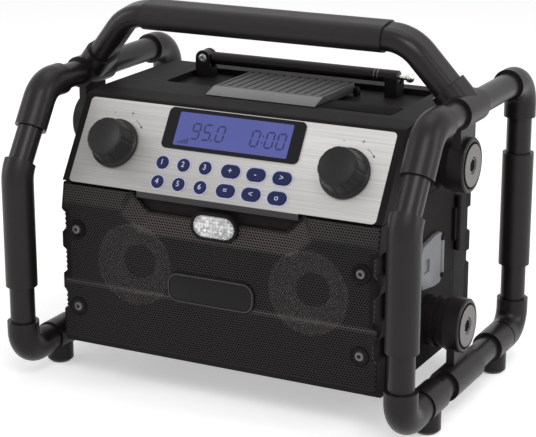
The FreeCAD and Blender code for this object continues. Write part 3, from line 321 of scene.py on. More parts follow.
def painted_light_rightwards(tree):
    """Painted light: a tone that rises along X, and more with height, for the lamps falling more on the
    right and top.
    """
    return add_node(tree, "ShaderNodeVectorMath", {0: coordinates(tree), 1: (1.0, 0.0, HEIGHT_SHARE)},
                    operation="DOT_PRODUCT").outputs["Value"]


def painted_light_facing_up(tree):
    """Painted light: a tone that rises where a sheet leans back to face up, as if lit from above."""
    return add_node(tree, "ShaderNodeSeparateXYZ", {0: coordinates(tree, "Normal")}).outputs["Z"]


def cell_by_cell(tree):
    """A tone of its own for each small cell of a moulded lens."""
    return add_node(tree, "ShaderNodeTexVoronoi", {
        "Vector": coordinates(tree), "Scale": LENS_CELLS}).outputs["Color"]


def dark_below(shiny, level, rgb):
    """Turns a brushed material into plain dark plastic below a height."""
    tree = shiny.node_tree
    shade = tree.nodes["Principled BSDF"]
    metallic = shade.inputs["Metallic"].default_value
    height = add_node(tree, "ShaderNodeSeparateXYZ", {0: coordinates(tree)}).outputs["Z"]
    below = maths(tree, "LESS_THAN", height, level)
    source = shade.inputs["Base Color"].links[0].from_socket
    set_inputs(shade, {
        "Base Color": mixed(tree, below, source, (*rgb, 1)),
        "Metallic": maths(tree, "MULTIPLY_ADD", below, -metallic, metallic),
    })


@cache
def finishes():
    """Every finish of the radio, by name."""
    tone = colours()
    made = {
        "tube": plastic("Coated tube", tone.tube, 0.32, 0.10, 2600.0, 0.24),
        "fitting": plastic("Moulded fitting", tone.fitting, 0.36, 0.14, 2200.0, 0.22),
        "sleeve": plastic("Sleeve", tone.fitting, 0.38, 0.12, 2400.0, 0.26),
        "grip": plastic("Handle grip", tone.fitting, 0.42, 0.2, 1500.0, 0.28),
        "damper": plastic("Mount rubber", tone.fitting, 0.55, 0.2, 900.0, 0.12),
        "housing": plastic("Body plastic", tone.housing, 0.62, 0.35, 1500.0, 0.1),
        "grille": plastic("Grille metal", tone.sheet, 0.40, 0.08, 2500.0, 0.2),
        "gloss": plastic("Gloss plastic", tone.housing, 0.30, 0.06, 2500.0, 0.16),
        "grey": plastic("Grey plastic", tone.grey, 0.45, 0.3, 1700.0, 0.25),
        "ramp": plastic("Pale grey plastic", tone.ramp, 0.42, 0.3, 1700.0),
        "latch": plastic("Latch plastic", tone.latch, 0.42, 0.2, 1900.0),
        "knob": plastic("Knob plastic", tone.knob, 0.36, 0.12, 2600.0, 0.18),
        "button": plastic("Button cap", tone.button, 0.35, 0.05, 2500.0, 0.15),
        "shadow": plastic("Dark recess", (0.004, 0.004, 0.004), 0.8, 0.1, 2500.0, 0.05),
        # Painted shade: this near-black matt finish on the deck pad stands in for the shade in a recess
        # of the deck.
        "rubber": plastic("Painted deck shade", (0.006, 0.0055, 0.0055), 0.85, 0.4, 1200.0, 0.1),
        "ring": plastic("Button ring", tone.ring, 0.45, 0.05, 2500.0),
        "legend": plastic("Legend ink", tone.legend, 0.5, 0.02, 2500.0),
        "ink": plastic("Panel ink", tone.print_ink, 0.5, 0.02, 2500.0),
        "glass": plastic("Window frame", tone.glass, 0.20, 0.0, 2500.0, 0.1, 0.04),
        "segment": plastic("Display segment", tone.segment, 0.4, 0.0, 2500.0),
        "lit": plastic("Backlit display", tone.backlight, 0.25, 0.0, 2500.0, 0.3, 0.02,
                       **{"Emission Color": (*tone.backlight, 1), "Emission Strength": 0.5}),
        "cone": plastic("Speaker cone", tone.cone, 0.6, 0.3, 1200.0),
        "board": plastic("Circuit board", (0.02, 0.10, 0.04), 0.45, 0.1, 1500.0),
        "battery": plastic("Battery case", tone.housing, 0.45, 0.3, 1500.0),
        "panel": brushed("Brushed panel", tone.silver, 0.34, 0.10, 0.55),
        "washer": brushed("Mount washer", tone.washer, 0.42, 0.04, 0.25),
        "metal": brushed("Bright metal", tone.metal, 0.16, 0.03, 1.0),
        "screw": brushed("Dark steel", (0.13, 0.13, 0.13), 0.3, 0.05, 0.7),
        "steel": brushed("Plain steel", (0.42, 0.42, 0.43), 0.3, 0.05, 0.9),
        "lens": brushed("Lamp lens", (0.93, 0.94, 0.96), 0.05, 0.02,
                        **{"Transmission Weight": 0.65, "IOR": 1.49}),
        "facet": brushed("Lamp facets", (0.95, 0.95, 0.96), 0.18, 0.02, 0.35),
    }
    middle = HEIGHT_SHARE * (PANEL_LOW.z + PANEL_HIGH.z) / 2
    # Painted light: the brushed panel is lighter towards its right and top, as the lamps fall on it.
    tinted(made["panel"], painted_light_rightwards, 0.88, 1.50, middle - PANEL_HIGH.x, middle + PANEL_HIGH.x)
    dark_below(made["panel"], sizes().panel_bottom_z - PANEL_RIM, tone.housing)
    # Painted light: the sheet is up to six times lighter where it leans back to face up, for the light
    # its brow catches from above.
    tinted(made["grille"], painted_light_facing_up, 1.0, 6.0, 0.02, 0.25)
    tinted(made["facet"], cell_by_cell, 0.30, 1.0)
    return made


def material(name):
    return finishes()[name]


# Mesh helpers; flat drawings and profiles are in millimetres

WELD = 1e-6
FINE_WELD = 1e-7
SHARP = math.radians(35)
BEVEL_STEPS = 2
FONT_SHARE = 1.4
FONT_STEPS = 3
DRAWING = Matrix.Scale(MM, 4)
FRONT = Matrix.Rotation(math.pi / 2, 4, "X")


def mm(metres):
    """A length for a drawing."""
    return metres / MM


def linked(name, data):
    """A new object of the scene."""
    piece = bpy.data.objects.new(name, data)
    bpy.context.scene.collection.objects.link(piece)
    return piece


def mesh_piece(name, mesh, body, finish_name, smooth=True, sharp=SHARP):
    """Links a mesh as a piece that rides on a body and takes its finish."""
    piece = linked(name, mesh)
    mesh.materials.clear()
    mesh.materials.append(material(finish_name))
    for polygon in mesh.polygons:
        polygon.use_smooth = smooth
    if smooth:
        mesh.set_sharp_from_angle(angle=sharp)
    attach(piece, body)
    return piece


def mesh_from(bm):
    """The mesh of a bmesh, which is freed."""
    mesh = bpy.data.meshes.new("mesh")
    bm.to_mesh(mesh)
    bm.free()
    return mesh


def mesh_of(build):
    """Runs a builder on a fresh bmesh and returns the mesh, normals outwards."""
    bm = bmesh.new()
    build(bm)
    bmesh.ops.remove_doubles(bm, verts=bm.verts, dist=FINE_WELD)
    bmesh.ops.recalc_face_normals(bm, faces=bm.faces)
    return mesh_from(bm)


def joined(meshes):
    """One mesh of several."""
    bm = bmesh.new()
    for mesh in meshes:
        bm.from_mesh(mesh)
    return mesh_from(bm)


def cad_copy(node):
    """A merged copy of a CAD node's mesh, as a bmesh."""
    bm = bmesh.new()
    bm.from_mesh(NODES[node].data)
    bmesh.ops.remove_doubles(bm, verts=bm.verts, dist=WELD)
    return bm


def baked(piece):
    """The piece's evaluated mesh, with its modifiers applied and removed."""
    bpy.context.view_layer.update()
    graph = bpy.context.evaluated_depsgraph_get()
    mesh = bpy.data.meshes.new_from_object(piece.evaluated_get(graph))
    piece.modifiers.clear()
    bpy.data.objects.remove(piece)
    return mesh


def bevelled(mesh, width):
    """A copy of the mesh with its sharp edges rounded over."""
    piece = linked("rounding", mesh)
    edge = piece.modifiers.new("Bevel", "BEVEL")
    edge.width = width * MM
    edge.segments = BEVEL_STEPS
    edge.limit_method = "ANGLE"
    edge.angle_limit = SHARP
    return baked(piece)


def cut_by(mesh, cutter):
    """The first mesh less the second."""
    piece, tool = linked("cut", mesh), linked("cutter", cutter)
    knife = piece.modifiers.new("Boolean", "BOOLEAN")
    knife.operation = "DIFFERENCE"
    knife.object = tool
    whole = baked(piece)
    bpy.data.objects.remove(tool)
    return whole


def panel_matrix():
    """Places a drawing, panel foot at y = 0 and face at z = 0, on the panel."""
    s = sizes()
    lean = Matrix.Rotation(math.pi / 2 - s.panel_tilt, 4, "X")
    return Matrix.Translation((0, s.panel_bottom_y, s.panel_bottom_z)) @ lean @ DRAWING


def front_matrix(x, y, z):
    """Places a drawing at a point in metres so that it faces the front."""
    return Matrix.Translation((x, y, z)) @ FRONT @ DRAWING


def skin(bm, rings):
    """Faces between neighbouring rings of equal count, or between a ring and a tip."""
    for a, b in zip(rings, rings[1:]):
        count = max(len(a), len(b))
        for k in range(count):
            j = (k + 1) % count
            corners = (a[k % len(a)], a[j % len(a)], b[j % len(b)], b[k % len(b)])
            bm.faces.new(list(dict.fromkeys(corners)))


def level_ring(bm, outline, level, place):
    """Points over an outline at one level of a drawing."""
    return [bm.verts.new(place @ Vector((x, y, level))) for x, y in outline]


def prism(bm, outline, low, high, place):
    """A closed prism over a flat outline."""
    bottom, top = level_ring(bm, outline, low, place), level_ring(bm, outline, high, place)
    bm.faces.new(bottom[::-1])
    bm.faces.new(top)
    skin(bm, [bottom, top])


def slabs(outlines, low, high, place):
    """The mesh of prisms over one or more outlines."""
    def build(bm):
        for outline in outlines:
            prism(bm, outline, low, high, place)
    return mesh_of(build)


def ring_slab(outer, inner, low, high, place):
    """The mesh of a closed flat ring between two outlines of equal count."""
    def build(bm):
        rows = [level_ring(bm, outline, level, place)
                for outline, level in ((outer, low), (outer, high), (inner, high), (inner, low))]
        skin(bm, rows + rows[:1])
    return mesh_of(build)


def turned_ring(bm, radii, height, place):
    """A ring of points about local Z, one for each radius, or its middle where they are nought."""
    if not any(radii):
        return [bm.verts.new(place @ Vector((0, 0, height)))]
    ring = []
    for k, radius in enumerate(radii):
        angle = math.tau * k / len(radii)
        ring.append((radius * math.cos(angle), radius * math.sin(angle)))
    return level_ring(bm, ring, height, place)


def turned(profile, place, steps=48):
    """The mesh of a closed solid about local Z from (radius, height) points."""
    return mesh_of(lambda bm: skin(
        bm, [turned_ring(bm, [radius] * steps, height, place) for radius, height in profile]))


def arc_points(x, y, radius, start, sweep, count):
    """Points along an arc, both ends included, angles in degrees."""
    angles = [math.radians(start + sweep * k / count) for k in range(count + 1)]
    return [(x + radius * math.cos(angle), y + radius * math.sin(angle)) for angle in angles]


def stadium_outline(x, y, half_width, radius, count=12):
    """Points round a stadium, anticlockwise."""
    middle = half_width - radius
    return (arc_points(x + middle, y, radius, -90, 180, count)
            + arc_points(x - middle, y, radius, 90, 180, count))


def rounded_outline(x0, x1, y0, y1, radius, count=6):
    """Points round a rounded rectangle, anticlockwise."""
    points = []
    for cx, cy, start in ((x1 - radius, y0 + radius, -90), (x1 - radius, y1 - radius, 0),
                          (x0 + radius, y1 - radius, 90), (x0 + radius, y0 + radius, 180)):
        points += arc_points(cx, cy, radius, start, 90, count)
    return points


def text_mesh(text, height, centre, low, high, place):
    """Plain figures or signs as a thin solid, centred on a point of a drawing."""
    curve = bpy.data.curves.new("figure", "FONT")
    curve.body = text
    curve.size = height * FONT_SHARE * MM
    curve.align_x = "CENTER"
    curve.align_y = "CENTER"
    curve.extrude = (high - low) / 2 * MM
    curve.resolution_u = FONT_STEPS
    mesh = baked(linked("figure", curve))
    drawn = Matrix.Translation((*centre, (low + high) / 2)) @ Matrix.Scale(mm(1), 4)
    mesh.transform(place @ drawn)
    return mesh

# Layout of the flat panel
BUTTON_COLUMNS = (-60.5, -39.5, -18.0, 6.9, 31.6, 56.4)
BUTTON_ROWS = (28.3, 10.5)
BUTTON_TOP = 2.0
ROUND_COLUMNS = 3
ROUND_RADIUS = 5.65
OBLONG_RADIUS = 5.75
OBLONG_HALF = 8.75
KNOB_X = 112.5
KNOB_V = 39.6


# Operators, one for each group of pieces


class RADIO_OT_finishes(bpy.types.Operator):
    """Gives every piece of the frame its finish"""
    bl_idname = "radio.finishes"
    bl_label = "Finishes"

    slots = {
        "tube": "tube", "fitting": "fitting", "sleeve": "sleeve", "grip": "grip",
        "damper": "damper", "bolt": "washer", "housing": "housing", "panel": "panel",
        "window": "glass", "lcd": "lit", "grille": "grille", "lens": "lens",
        "speaker_metal": "steel", "cone": "cone", "board": "board", "encoder": "steel",
        "battery": "battery", "grey_plastic": "grey", "antenna": "fitting",
        "antenna_metal": "metal", "button": "button", "knob": "knob", "shaft": "steel",
    }

    def execute(self, context):
        for part in frame["record"]["subparts"]:
            node = NODES[part["node"]]
            name = "latch" if part["node"] == "side_latch" else self.slots[part["material_slot"]]
            for slot in node.material_slots:
                slot.material = material(name)
        return {"FINISHED"}


NOTCH_TOP = 186.0 * MM
SHEET_FOOT_RADIUS = 10.0 * MM
CREASE_WIDTH = 1.0 * MM


def sheet_front(x, z):
    """Front face of the grille's sheet at a place, as a Y value."""
    s = sizes()
    below = (GRILLE_LOW.z + SHEET_FOOT_RADIUS - z) / SHEET_FOOT_RADIUS
    if below > 0:
        return s.field_y + SHEET_FOOT_RADIUS * (1 - math.sqrt(max(0.0, 1 - below * below)))
    if z < s.crease_z + CREASE_WIDTH:
        return s.field_y
    side = (s.brow_top_y - s.field_y) * (z - s.brow_z) / (s.panel_bottom_z - s.brow_z)
    slope = (s.brow_outer - s.brow_inner) / (s.brow_z - s.dip_z)
    edge = s.brow_inner + slope * (z - s.dip_z)
    diagonal_width = s.brow_inner - s.notch_inner + slope * (s.notch_z - s.dip_z)
    dip = (s.notch_y - s.field_y) * min(
        1.0,
        (z - s.dip_z) / (s.notch_z - s.dip_z),
        (edge - abs(x)) / diagonal_width,
        (s.brow_outer - abs(x)) / (s.brow_outer - s.notch_outer),
    )
    return s.field_y + max(side, dip, s.crease_step)


def notch_half_width(z):
    """Half width at a height of the notch that widens up to the panel."""
    s = sizes()
    slope = (s.notch_outer - s.notch_inner) / (NOTCH_TOP - s.notch_z)
    return s.notch_inner + slope * (z - s.notch_z)


def in_notch(x, z):
    """True inside the notch below the panel, where the sheet is cut away."""
    s = sizes()
    return z >= s.notch_z and abs(x) <= s.notch_outer and abs(x) < notch_half_width(z)


def in_lamp(x, z, margin):
    """True within a margin of the lamp."""
    across = max(0.0, abs(x - LAMP_CENTRE.x) - (LAMP_HALF - LAMP_RADIUS))
    return math.hypot(across, z - LAMP_CENTRE.z) < LAMP_RADIUS + margin


def perforation_tree():
    """Turns each cell of a sheet into a frame round a hole, and gives it a thickness."""
    tree = bpy.data.node_groups.new("Perforation", "GeometryNodeTree")
    face = tree.interface
    face.new_socket("Geometry", in_out="INPUT", socket_type="NodeSocketGeometry")
    sockets = [face.new_socket(label, in_out="INPUT", socket_type=kind).identifier for label, kind in (
        ("Hole Share", "NodeSocketFloat"), ("Thickness", "NodeSocketFloat"),
        ("Finish", "NodeSocketMaterial"))]
    face.new_socket("Geometry", in_out="OUTPUT", socket_type="NodeSocketGeometry")
    given = tree.nodes.new("NodeGroupInput").outputs
    end = tree.nodes.new("NodeGroupOutput")
    dual = add_node(tree, "GeometryNodeDualMesh", {"Mesh": given["Geometry"], "Keep Boundaries": True})
    cells = add_node(tree, "GeometryNodeExtrudeMesh", {
        "Mesh": dual.outputs[0], "Individual": True, "Offset Scale": 0.0}, mode="FACES").outputs
    shrink = add_node(tree, "GeometryNodeScaleElements", {
        "Geometry": cells["Mesh"], "Selection": cells["Top"], "Scale": given["Hole Share"]},
        domain="FACE")
    holes = add_node(tree, "GeometryNodeDeleteGeometry", {
        "Geometry": shrink.outputs[0], "Selection": cells["Top"]}, domain="FACE")
    weld = add_node(tree, "GeometryNodeMergeByDistance", {"Geometry": holes.outputs[0], "Distance": WELD})
    front = add_node(tree, "GeometryNodeExtrudeMesh", {
        "Mesh": weld.outputs[0], "Offset Scale": given["Thickness"], "Individual": False}, mode="FACES")
    back = add_node(tree, "GeometryNodeFlipFaces", {"Mesh": weld.outputs[0]})
    both = tree.nodes.new("GeometryNodeJoinGeometry")
    tree.links.new(front.outputs["Mesh"], both.inputs[0])
    tree.links.new(back.outputs[0], both.inputs[0])
    seam = add_node(tree, "GeometryNodeMergeByDistance", {"Geometry": both.outputs[0], "Distance": WELD})
    real = add_node(tree, "GeometryNodeRealizeInstances", {"Geometry": seam.outputs[0]})
    dress = add_node(tree, "GeometryNodeSetMaterial", {
        "Geometry": real.outputs[0], "Material": given["Finish"]})
    tree.links.new(dress.outputs[0], end.inputs[0])
    return tree, sockets


class RADIO_OT_grille(bpy.types.Operator):
    """Makes the perforated grille sheet, its solid ends and the trim of its notch"""
    bl_idname = "radio.grille"
    bl_label = "Grille"

    side_gap = 1.2 * MM
    top_gap = 0.4 * MM
    lamp_gap = 3.0 * MM
    foot = 9.0 * MM
    lift = 0.05 * MM
    end_width = 8.0 * MM
    spare = 10.0 * MM
    pocket_depth = 4.0 * MM
    pocket_slope = 3.0 * MM
    pockets = ((68.0, 88.0), (102.0, 127.0), (141.0, 162.0))
    trim_width = 1.6
    trim_back, trim_front = -1.0, 1.2

    def in_pocket(self, x, z):
        """True in the pockets at the sheet's sides, which narrow inwards."""
        reach = abs(x) - (GRILLE_HIGH.x - self.pocket_depth)
        inset = self.pocket_slope * (1 - reach / self.pocket_depth)
        return reach > 0 and any(
            low * MM + inset < z < high * MM - inset for low, high in self.pockets)

    def sheet(self, right):
        """Even triangles over the grille's front form, on one side of the middle."""
        pitch = sizes().hole_pitch
        row_height = pitch * math.sqrt(3) / 2
        foot = GRILLE_LOW.z + self.foot
        columns = int((GRILLE_HIGH.x - self.side_gap) / pitch)
        rows = int((GRILLE_HIGH.z - self.top_gap - foot) / row_height)
        bm = bmesh.new()
        grid = []
        for r in range(rows + 1):
            z = foot + row_height * r
            across = [pitch * (c + 0.5 * (r % 2)) for c in range(-columns, columns + 1)]
            grid.append([bm.verts.new((x, sheet_front(x, z) - self.lift, z)) for x in across])
        for r in range(rows):
            for c in range(2 * columns):
                a, b = grid[r][c:c + 2]
                d, e = grid[r + 1][c:c + 2]
                for corners in ((a, b, d), (b, e, d)) if r % 2 == 0 else ((a, b, e), (a, e, d)):
                    middle = (corners[0].co + corners[1].co + corners[2].co) / 3
                    x, z = middle.x, middle.z
                    if (x > 0) == right and not (
                            in_notch(x, z) or in_lamp(x, z, self.lamp_gap) or self.in_pocket(x, z)):
                        bm.faces.new(corners)
        loose = [v for v in bm.verts if not v.link_faces]
        bmesh.ops.delete(bm, geom=loose, context="VERTS")
        return mesh_from(bm)

    def perforated(self, right, tree, sockets):
        """One side of the sheet, with its holes and thickness."""
        holder = linked("sheet", self.sheet(right))
        holes = holder.modifiers.new("Perforation", "NODES")
        holes.node_group = tree
        values = (sizes().hole_share, sizes().sheet_thickness, material("grille"))
        for socket, value in zip(sockets, values):
            holes[socket] = value
        return baked(holder)

    def notch_trim(self):
        """A narrow edge round the notch below the panel."""
        s = sizes()
        top, foot, trim = mm(GRILLE_HIGH.z), mm(s.notch_z), self.trim_width
        wide, narrow = mm(notch_half_width(GRILLE_HIGH.z)), mm(s.notch_inner)
        inner = [(-wide, top), (-narrow, foot), (narrow, foot), (wide, top)]
        outer = [(wide + trim, top), (narrow + trim / 2, foot - trim),
                 (-narrow - trim / 2, foot - trim), (-wide - trim, top)]
        return slabs([inner + outer], self.trim_back, self.trim_front, front_matrix(0, s.notch_y, 0))

    def ends(self):
        """What is left of the CAD grille beside and below the sheet."""
        reach = GRILLE_HIGH.x - self.end_width
        front, back = GRILLE_LOW.y - self.spare, GRILLE_HIGH.y + self.spare
        room = slabs([[(-reach, front), (reach, front), (reach, back), (-reach, back)]],
                     GRILLE_LOW.z + self.foot + self.top_gap, GRILLE_HIGH.z + self.spare,
                     Matrix.Identity(4))
        return cut_by(mesh_from(cad_copy("grille")), room)

    def execute(self, context):
        tree, sockets = perforation_tree()
        for name, right in (("grille_sheet_left", False), ("grille_sheet_right", True)):
            mesh = self.perforated(right, tree, sockets)
            sheet = mesh_piece(name, mesh, "radio", "grille", smooth=False)
            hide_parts("grille")
        mesh_piece("grille_ends", self.ends(), "radio", "housing")
        mesh_piece("grille_trim", self.notch_trim(), "radio", "housing", smooth=False)
        return {"FINISHED"}


class RADIO_OT_speakers(bpy.types.Operator):
    """Makes the speakers' surrounds, cones and dust caps behind the sheet"""
    bl_idname = "radio.speakers"
    bl_label = "Speakers"

    wall_front = -92.75 * MM
    # Radius, and height in front of the wall; for surround and rim edge, depth behind the crest
    back = ((0, -4.0), (36.5, -4.0), (36.5, 0.3))
    surround = ((38.0, 1.4), (37.4, 0.4), (36.0, 0), (34.6, 0.4), (33.8, 1.6))
    hollow = ((15.0, -1.5), (0, -2.0))
    cap = ((0, -1.9), (15.6, -1.4), (15.2, 0.4), (12.0, 3.0), (7.0, 4.6), (0, 5.2))
    rim_bore, rim_radius = 37.6, 41.0
    rim_edge = ((41.0, 2.6), (38.6, 1.4))

    def execute(self, context):
        s = sizes()
        reach = mm(self.wall_front - s.cone_front_y)
        front = [(radius, reach - drop) for radius, drop in self.surround]
        edge = [(radius, reach - drop) for radius, drop in self.rim_edge]
        rim = [(self.rim_bore, 0), (self.rim_radius, 0), *edge, (self.rim_bore, 0)]
        places = [front_matrix(x, self.wall_front, s.speaker_z) for x in (-s.speaker_x, s.speaker_x)]

        def pair(profile):
            return joined([turned(profile, place) for place in places])
        skins = mesh_piece("speaker_cone_skins", pair([*self.back, *front, *self.hollow]),
                           "radio", "cone")
        mesh_piece("speaker_caps", pair(self.cap), "radio", "housing")
        mesh_piece("speaker_rims", pair(rim), "radio", "housing")
        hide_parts("speaker_cones")
        return {"FINISHED"}


class RADIO_OT_washers(bpy.types.Operator):
    """Makes the bright washers and dark sockets of the four mounts"""
    bl_idname = "radio.washers"
    bl_label = "Mount washers"

    flange = 20.5
    depth = 2.2
    socket_gap = 0.7
    socket_low, socket_high = 0.45, 1.3
    key_gap = 2.4
    points = 36

    def hexagon(self, reach):
        """Even points round a hexagon whose flats lie at a distance from its middle."""
        points = []
        for k in range(self.points):
            angle = math.tau * k / self.points
            radius = reach / math.cos(abs(angle % (math.pi / 3) - math.pi / 6))
            points.append((radius * math.cos(angle), radius * math.sin(angle)))
        return points

    def execute(self, context):
        s = sizes()
        bore, radius, flange, depth = mm(s.washer_bore), mm(s.washer_radius), self.flange, self.depth
        washer = ((bore, 0.6), (radius, 0.6), (radius, depth - 0.3), (radius - 0.4, depth),
                  (bore + 0.5, depth), (bore, depth - 0.5), (bore, 0.6))
        cup = ((0, -2.0), (flange, -2.0), (flange, depth - 0.9), (flange - 0.6, depth - 0.4),
               (radius, depth - 0.4), (radius - 0.2, 0.5), (0, 0.5))
        rim = arc_points(0, 0, bore - self.socket_gap, 0, 360, self.points)[:-1]
        key = self.hexagon(bore - self.key_gap)
        low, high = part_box("mount_bolts")
        places = []
        for side in (-1, 1):
            for z in (low.z + flange * MM, high.z - flange * MM):
                seat = Matrix.Translation((side * (high.x - depth * MM), (low.y + high.y) / 2, z))
                places.append(seat @ Matrix.Rotation(side * math.pi / 2, 4, "Y") @ DRAWING)
        washers = mesh_piece("mount_washers", joined([turned(washer, place) for place in places]),
                             "radio", "washer")
        mesh_piece("mount_cups", joined([turned(cup, place) for place in places]),
                   "radio", "shadow")
        sockets = [ring_slab(rim, key, self.socket_low, self.socket_high, place) for place in places]
        mesh_piece("mount_sockets", joined(sockets), "radio", "screw", smooth=False)
        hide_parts("mount_bolts")
        return {"FINISHED"}


# Shares of a pan-head screw's radius and height, from its seat to the foot of its recess
SCREW_HEAD = ((0, 0), (1, 0), (1, 0.35), (0.86, 0.8), (0.5, 1), (0.42, 0.98), (0.30, 0.45), (0, 0.35))
CROSS_ARM, CROSS_WIDTH, CROSS_PROUD = 0.40, 0.11, 1.02


def screw_mesh(place, radius, height):
    """A pan-head screw with a recess."""
    return turned([(radius * r, height * h) for r, h in SCREW_HEAD], place, 32)


def painted_shade_cross(place, radius, low, high):
    """Painted shade: a dark solid cross standing in for the shade inside a screw's cross recess."""
    arm, width = radius * CROSS_ARM, radius * CROSS_WIDTH
    bars = []
    for x, y, top in ((arm, width, high), (width, arm, high * CROSS_PROUD)):
        bars.append(slabs([[(-x, -y), (x, -y), (x, y), (-x, y)]], low, top, place))
    return joined(bars)


class RADIO_OT_screws(bpy.types.Operator):
    """Puts the four screws in the grille's corner pockets and six at the back"""
    bl_idname = "radio.screws"
    bl_label = "Screws"

    front_x = 139.5 * MM
    front_z = (145.0 * MM, 72.5 * MM)
    rear_x = 100.0 * MM
    rear_y = 107.2 * MM
    rear_z = (58.0 * MM, 142.0 * MM, 226.0 * MM)
    rear_share = 0.8
    front_height, rear_height = 2.4, 1.6
    front_cross, rear_cross = (1.0, 1.5), (0.7, 1.0)
    # Shares of the screw's radius, with heights
    cup = ((0, -1.0), (2.0, -1.0), (2.0, 1.0), (1.9, 1.9), (1.7, 1.9), (1.25, 0.3), (0, 0.2))

    def execute(self, context):
        s = sizes()
        radius = mm(s.screw_radius)
        heads, marks, cups = [], [], []
        for z in self.front_z:
            for x in (-self.front_x, self.front_x):
                place = front_matrix(x, s.field_y, z)
                heads.append(screw_mesh(place, radius, self.front_height))
                marks.append(painted_shade_cross(place, radius, *self.front_cross))
                cups.append(turned([(radius * r, height) for r, height in self.cup], place, 40))
        for z in self.rear_z:
            for x in (-self.rear_x, self.rear_x):
                place = Matrix.Rotation(math.pi, 4, "Z") @ front_matrix(-x, -self.rear_y, z)
                heads.append(screw_mesh(place, radius * self.rear_share, self.rear_height))
                marks.append(painted_shade_cross(place, radius * self.rear_share, *self.rear_cross))
        mesh_piece("case_screws", joined(heads), "radio", "screw")
        # Painted shade: the dark crosses stand in for the shade in the screws' cross recesses.
        mesh_piece("case_screw_slot_shade", joined(marks), "radio", "glass", smooth=False)
        mesh_piece("grille_screw_cups", joined(cups), "radio", "housing")
        return {"FINISHED"}


class RADIO_OT_badge(bpy.types.Operator):
    """Makes the bare badge plate with its raised outline"""
    bl_idname = "radio.badge"
    bl_label = "Bare badge"

    corner = 11.0
    thickness = 1.6
    rounding = 0.5
    rim_inset, rim_width = 1.2, 0.9
    rim_low, rim_high = 1.5, 2.1

    def outline(self, inset):
        """The badge's outline, drawn in by an inset."""
        s = sizes()
        w, h = mm(s.badge_half_width) - inset, mm(s.badge_half_height) - inset
        return rounded_outline(-w, w, -h, h, self.corner - inset)

    def execute(self, context):
        s = sizes()
        place = front_matrix(s.badge_x, s.field_y, s.badge_z)
        plate = bevelled(slabs([self.outline(0)], 0.0, self.thickness, place), self.rounding)
        mesh_piece("badge_plate", plate, "radio", "gloss")
        rim = ring_slab(self.outline(self.rim_inset), self.outline(self.rim_inset + self.rim_width),
                        self.rim_low, self.rim_high, place)
        mesh_piece("badge_rim", rim, "radio", "grey")
        return {"FINISHED"}


class RADIO_OT_lamp(bpy.types.Operator):
    """Makes the work lamp's clear cover and the facets behind it"""
    bl_idname = "radio.lamp"
    bl_label = "Work lamp"

    columns = 13
    rows = 6
    facet_height = 0.9
    block = 0.4
    cover_back = 0.2
    cover_gap = 0.1
    cover_rounding = 0.5
    side_margin, end_margin, round_margin = 1.2, 1.0, 1.9

    def facets(self, bm, half, radius, seat, place):
        """One block with a small pyramid on each cell, inside the lens outline."""
        reach_x, reach_y = half - self.side_margin, radius - self.end_margin
        step_x, step_y = 2 * reach_x / self.columns, 2 * reach_y / self.rows

        def spot(i, j):
            return -reach_x + step_x * i, -reach_y + step_y * j
        cells = set()
        for i in range(self.columns):
            for j in range(self.rows):
                x, y = spot(i + 0.5, j + 0.5)
                if math.hypot(max(0.0, abs(x) - half + radius), y) <= radius - self.round_margin:
                    cells.add((i, j))
        made = {}

        def corner(i, j, level):
            if (i, j, level) not in made:
                made[(i, j, level)] = bm.verts.new(place @ Vector((*spot(i, j), level)))
            return made[(i, j, level)]
        foot = seat - self.block
        for i, j in sorted(cells):
            around = ((i, j), (i + 1, j), (i + 1, j + 1), (i, j + 1))
            beside = ((i, j - 1), (i + 1, j), (i, j + 1), (i - 1, j))
            tip = corner(i + 0.5, j + 0.5, seat + self.facet_height)
            bm.faces.new([corner(a, b, foot) for a, b in reversed(around)])
            for k in range(4):
                a, b = around[k], around[(k + 1) % 4]
                bm.faces.new((corner(*a, seat), corner(*b, seat), tip))
                if beside[k] not in cells:
                    bm.faces.new((corner(*a, foot), corner(*b, foot), corner(*b, seat), corner(*a, seat)))

    def execute(self, context):
        half, radius = mm(LAMP_HALF), mm(LAMP_RADIUS)
        seat = mm(LAMP_HIGH.y - LAMP_LOW.y) - self.facet_height - self.cover_gap
        place = front_matrix(LAMP_CENTRE.x, LAMP_HIGH.y, LAMP_CENTRE.z)
        cover = slabs([stadium_outline(0, 0, half, radius)], self.cover_back, seat, place)
        shell = mesh_piece("lamp_cover", bevelled(cover, self.cover_rounding), "radio", "lens")
        facets = mesh_of(lambda bm: self.facets(bm, half, radius, seat, place))
        mesh_piece("lamp_facets", facets, "radio", "facet", smooth=False)
        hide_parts("lamp_lens")
        return {"FINISHED"}


# Strokes of a seven-stroke figure: name, (x, y) of both ends in a unit cell
STROKES = {
    "a": ((0, 1), (1, 1)), "b": ((1, 1), (1, 0.5)), "c": ((1, 0.5), (1, 0)),
    "d": ((0, 0), (1, 0)), "e": ((0, 0.5), (0, 0)), "f": ((0, 1), (0, 0.5)), "g": ((0, 0.5), (1, 0.5)),
}
FIGURES = {"0": "abcdef", "5": "afgcd", "9": "abcdfg"}


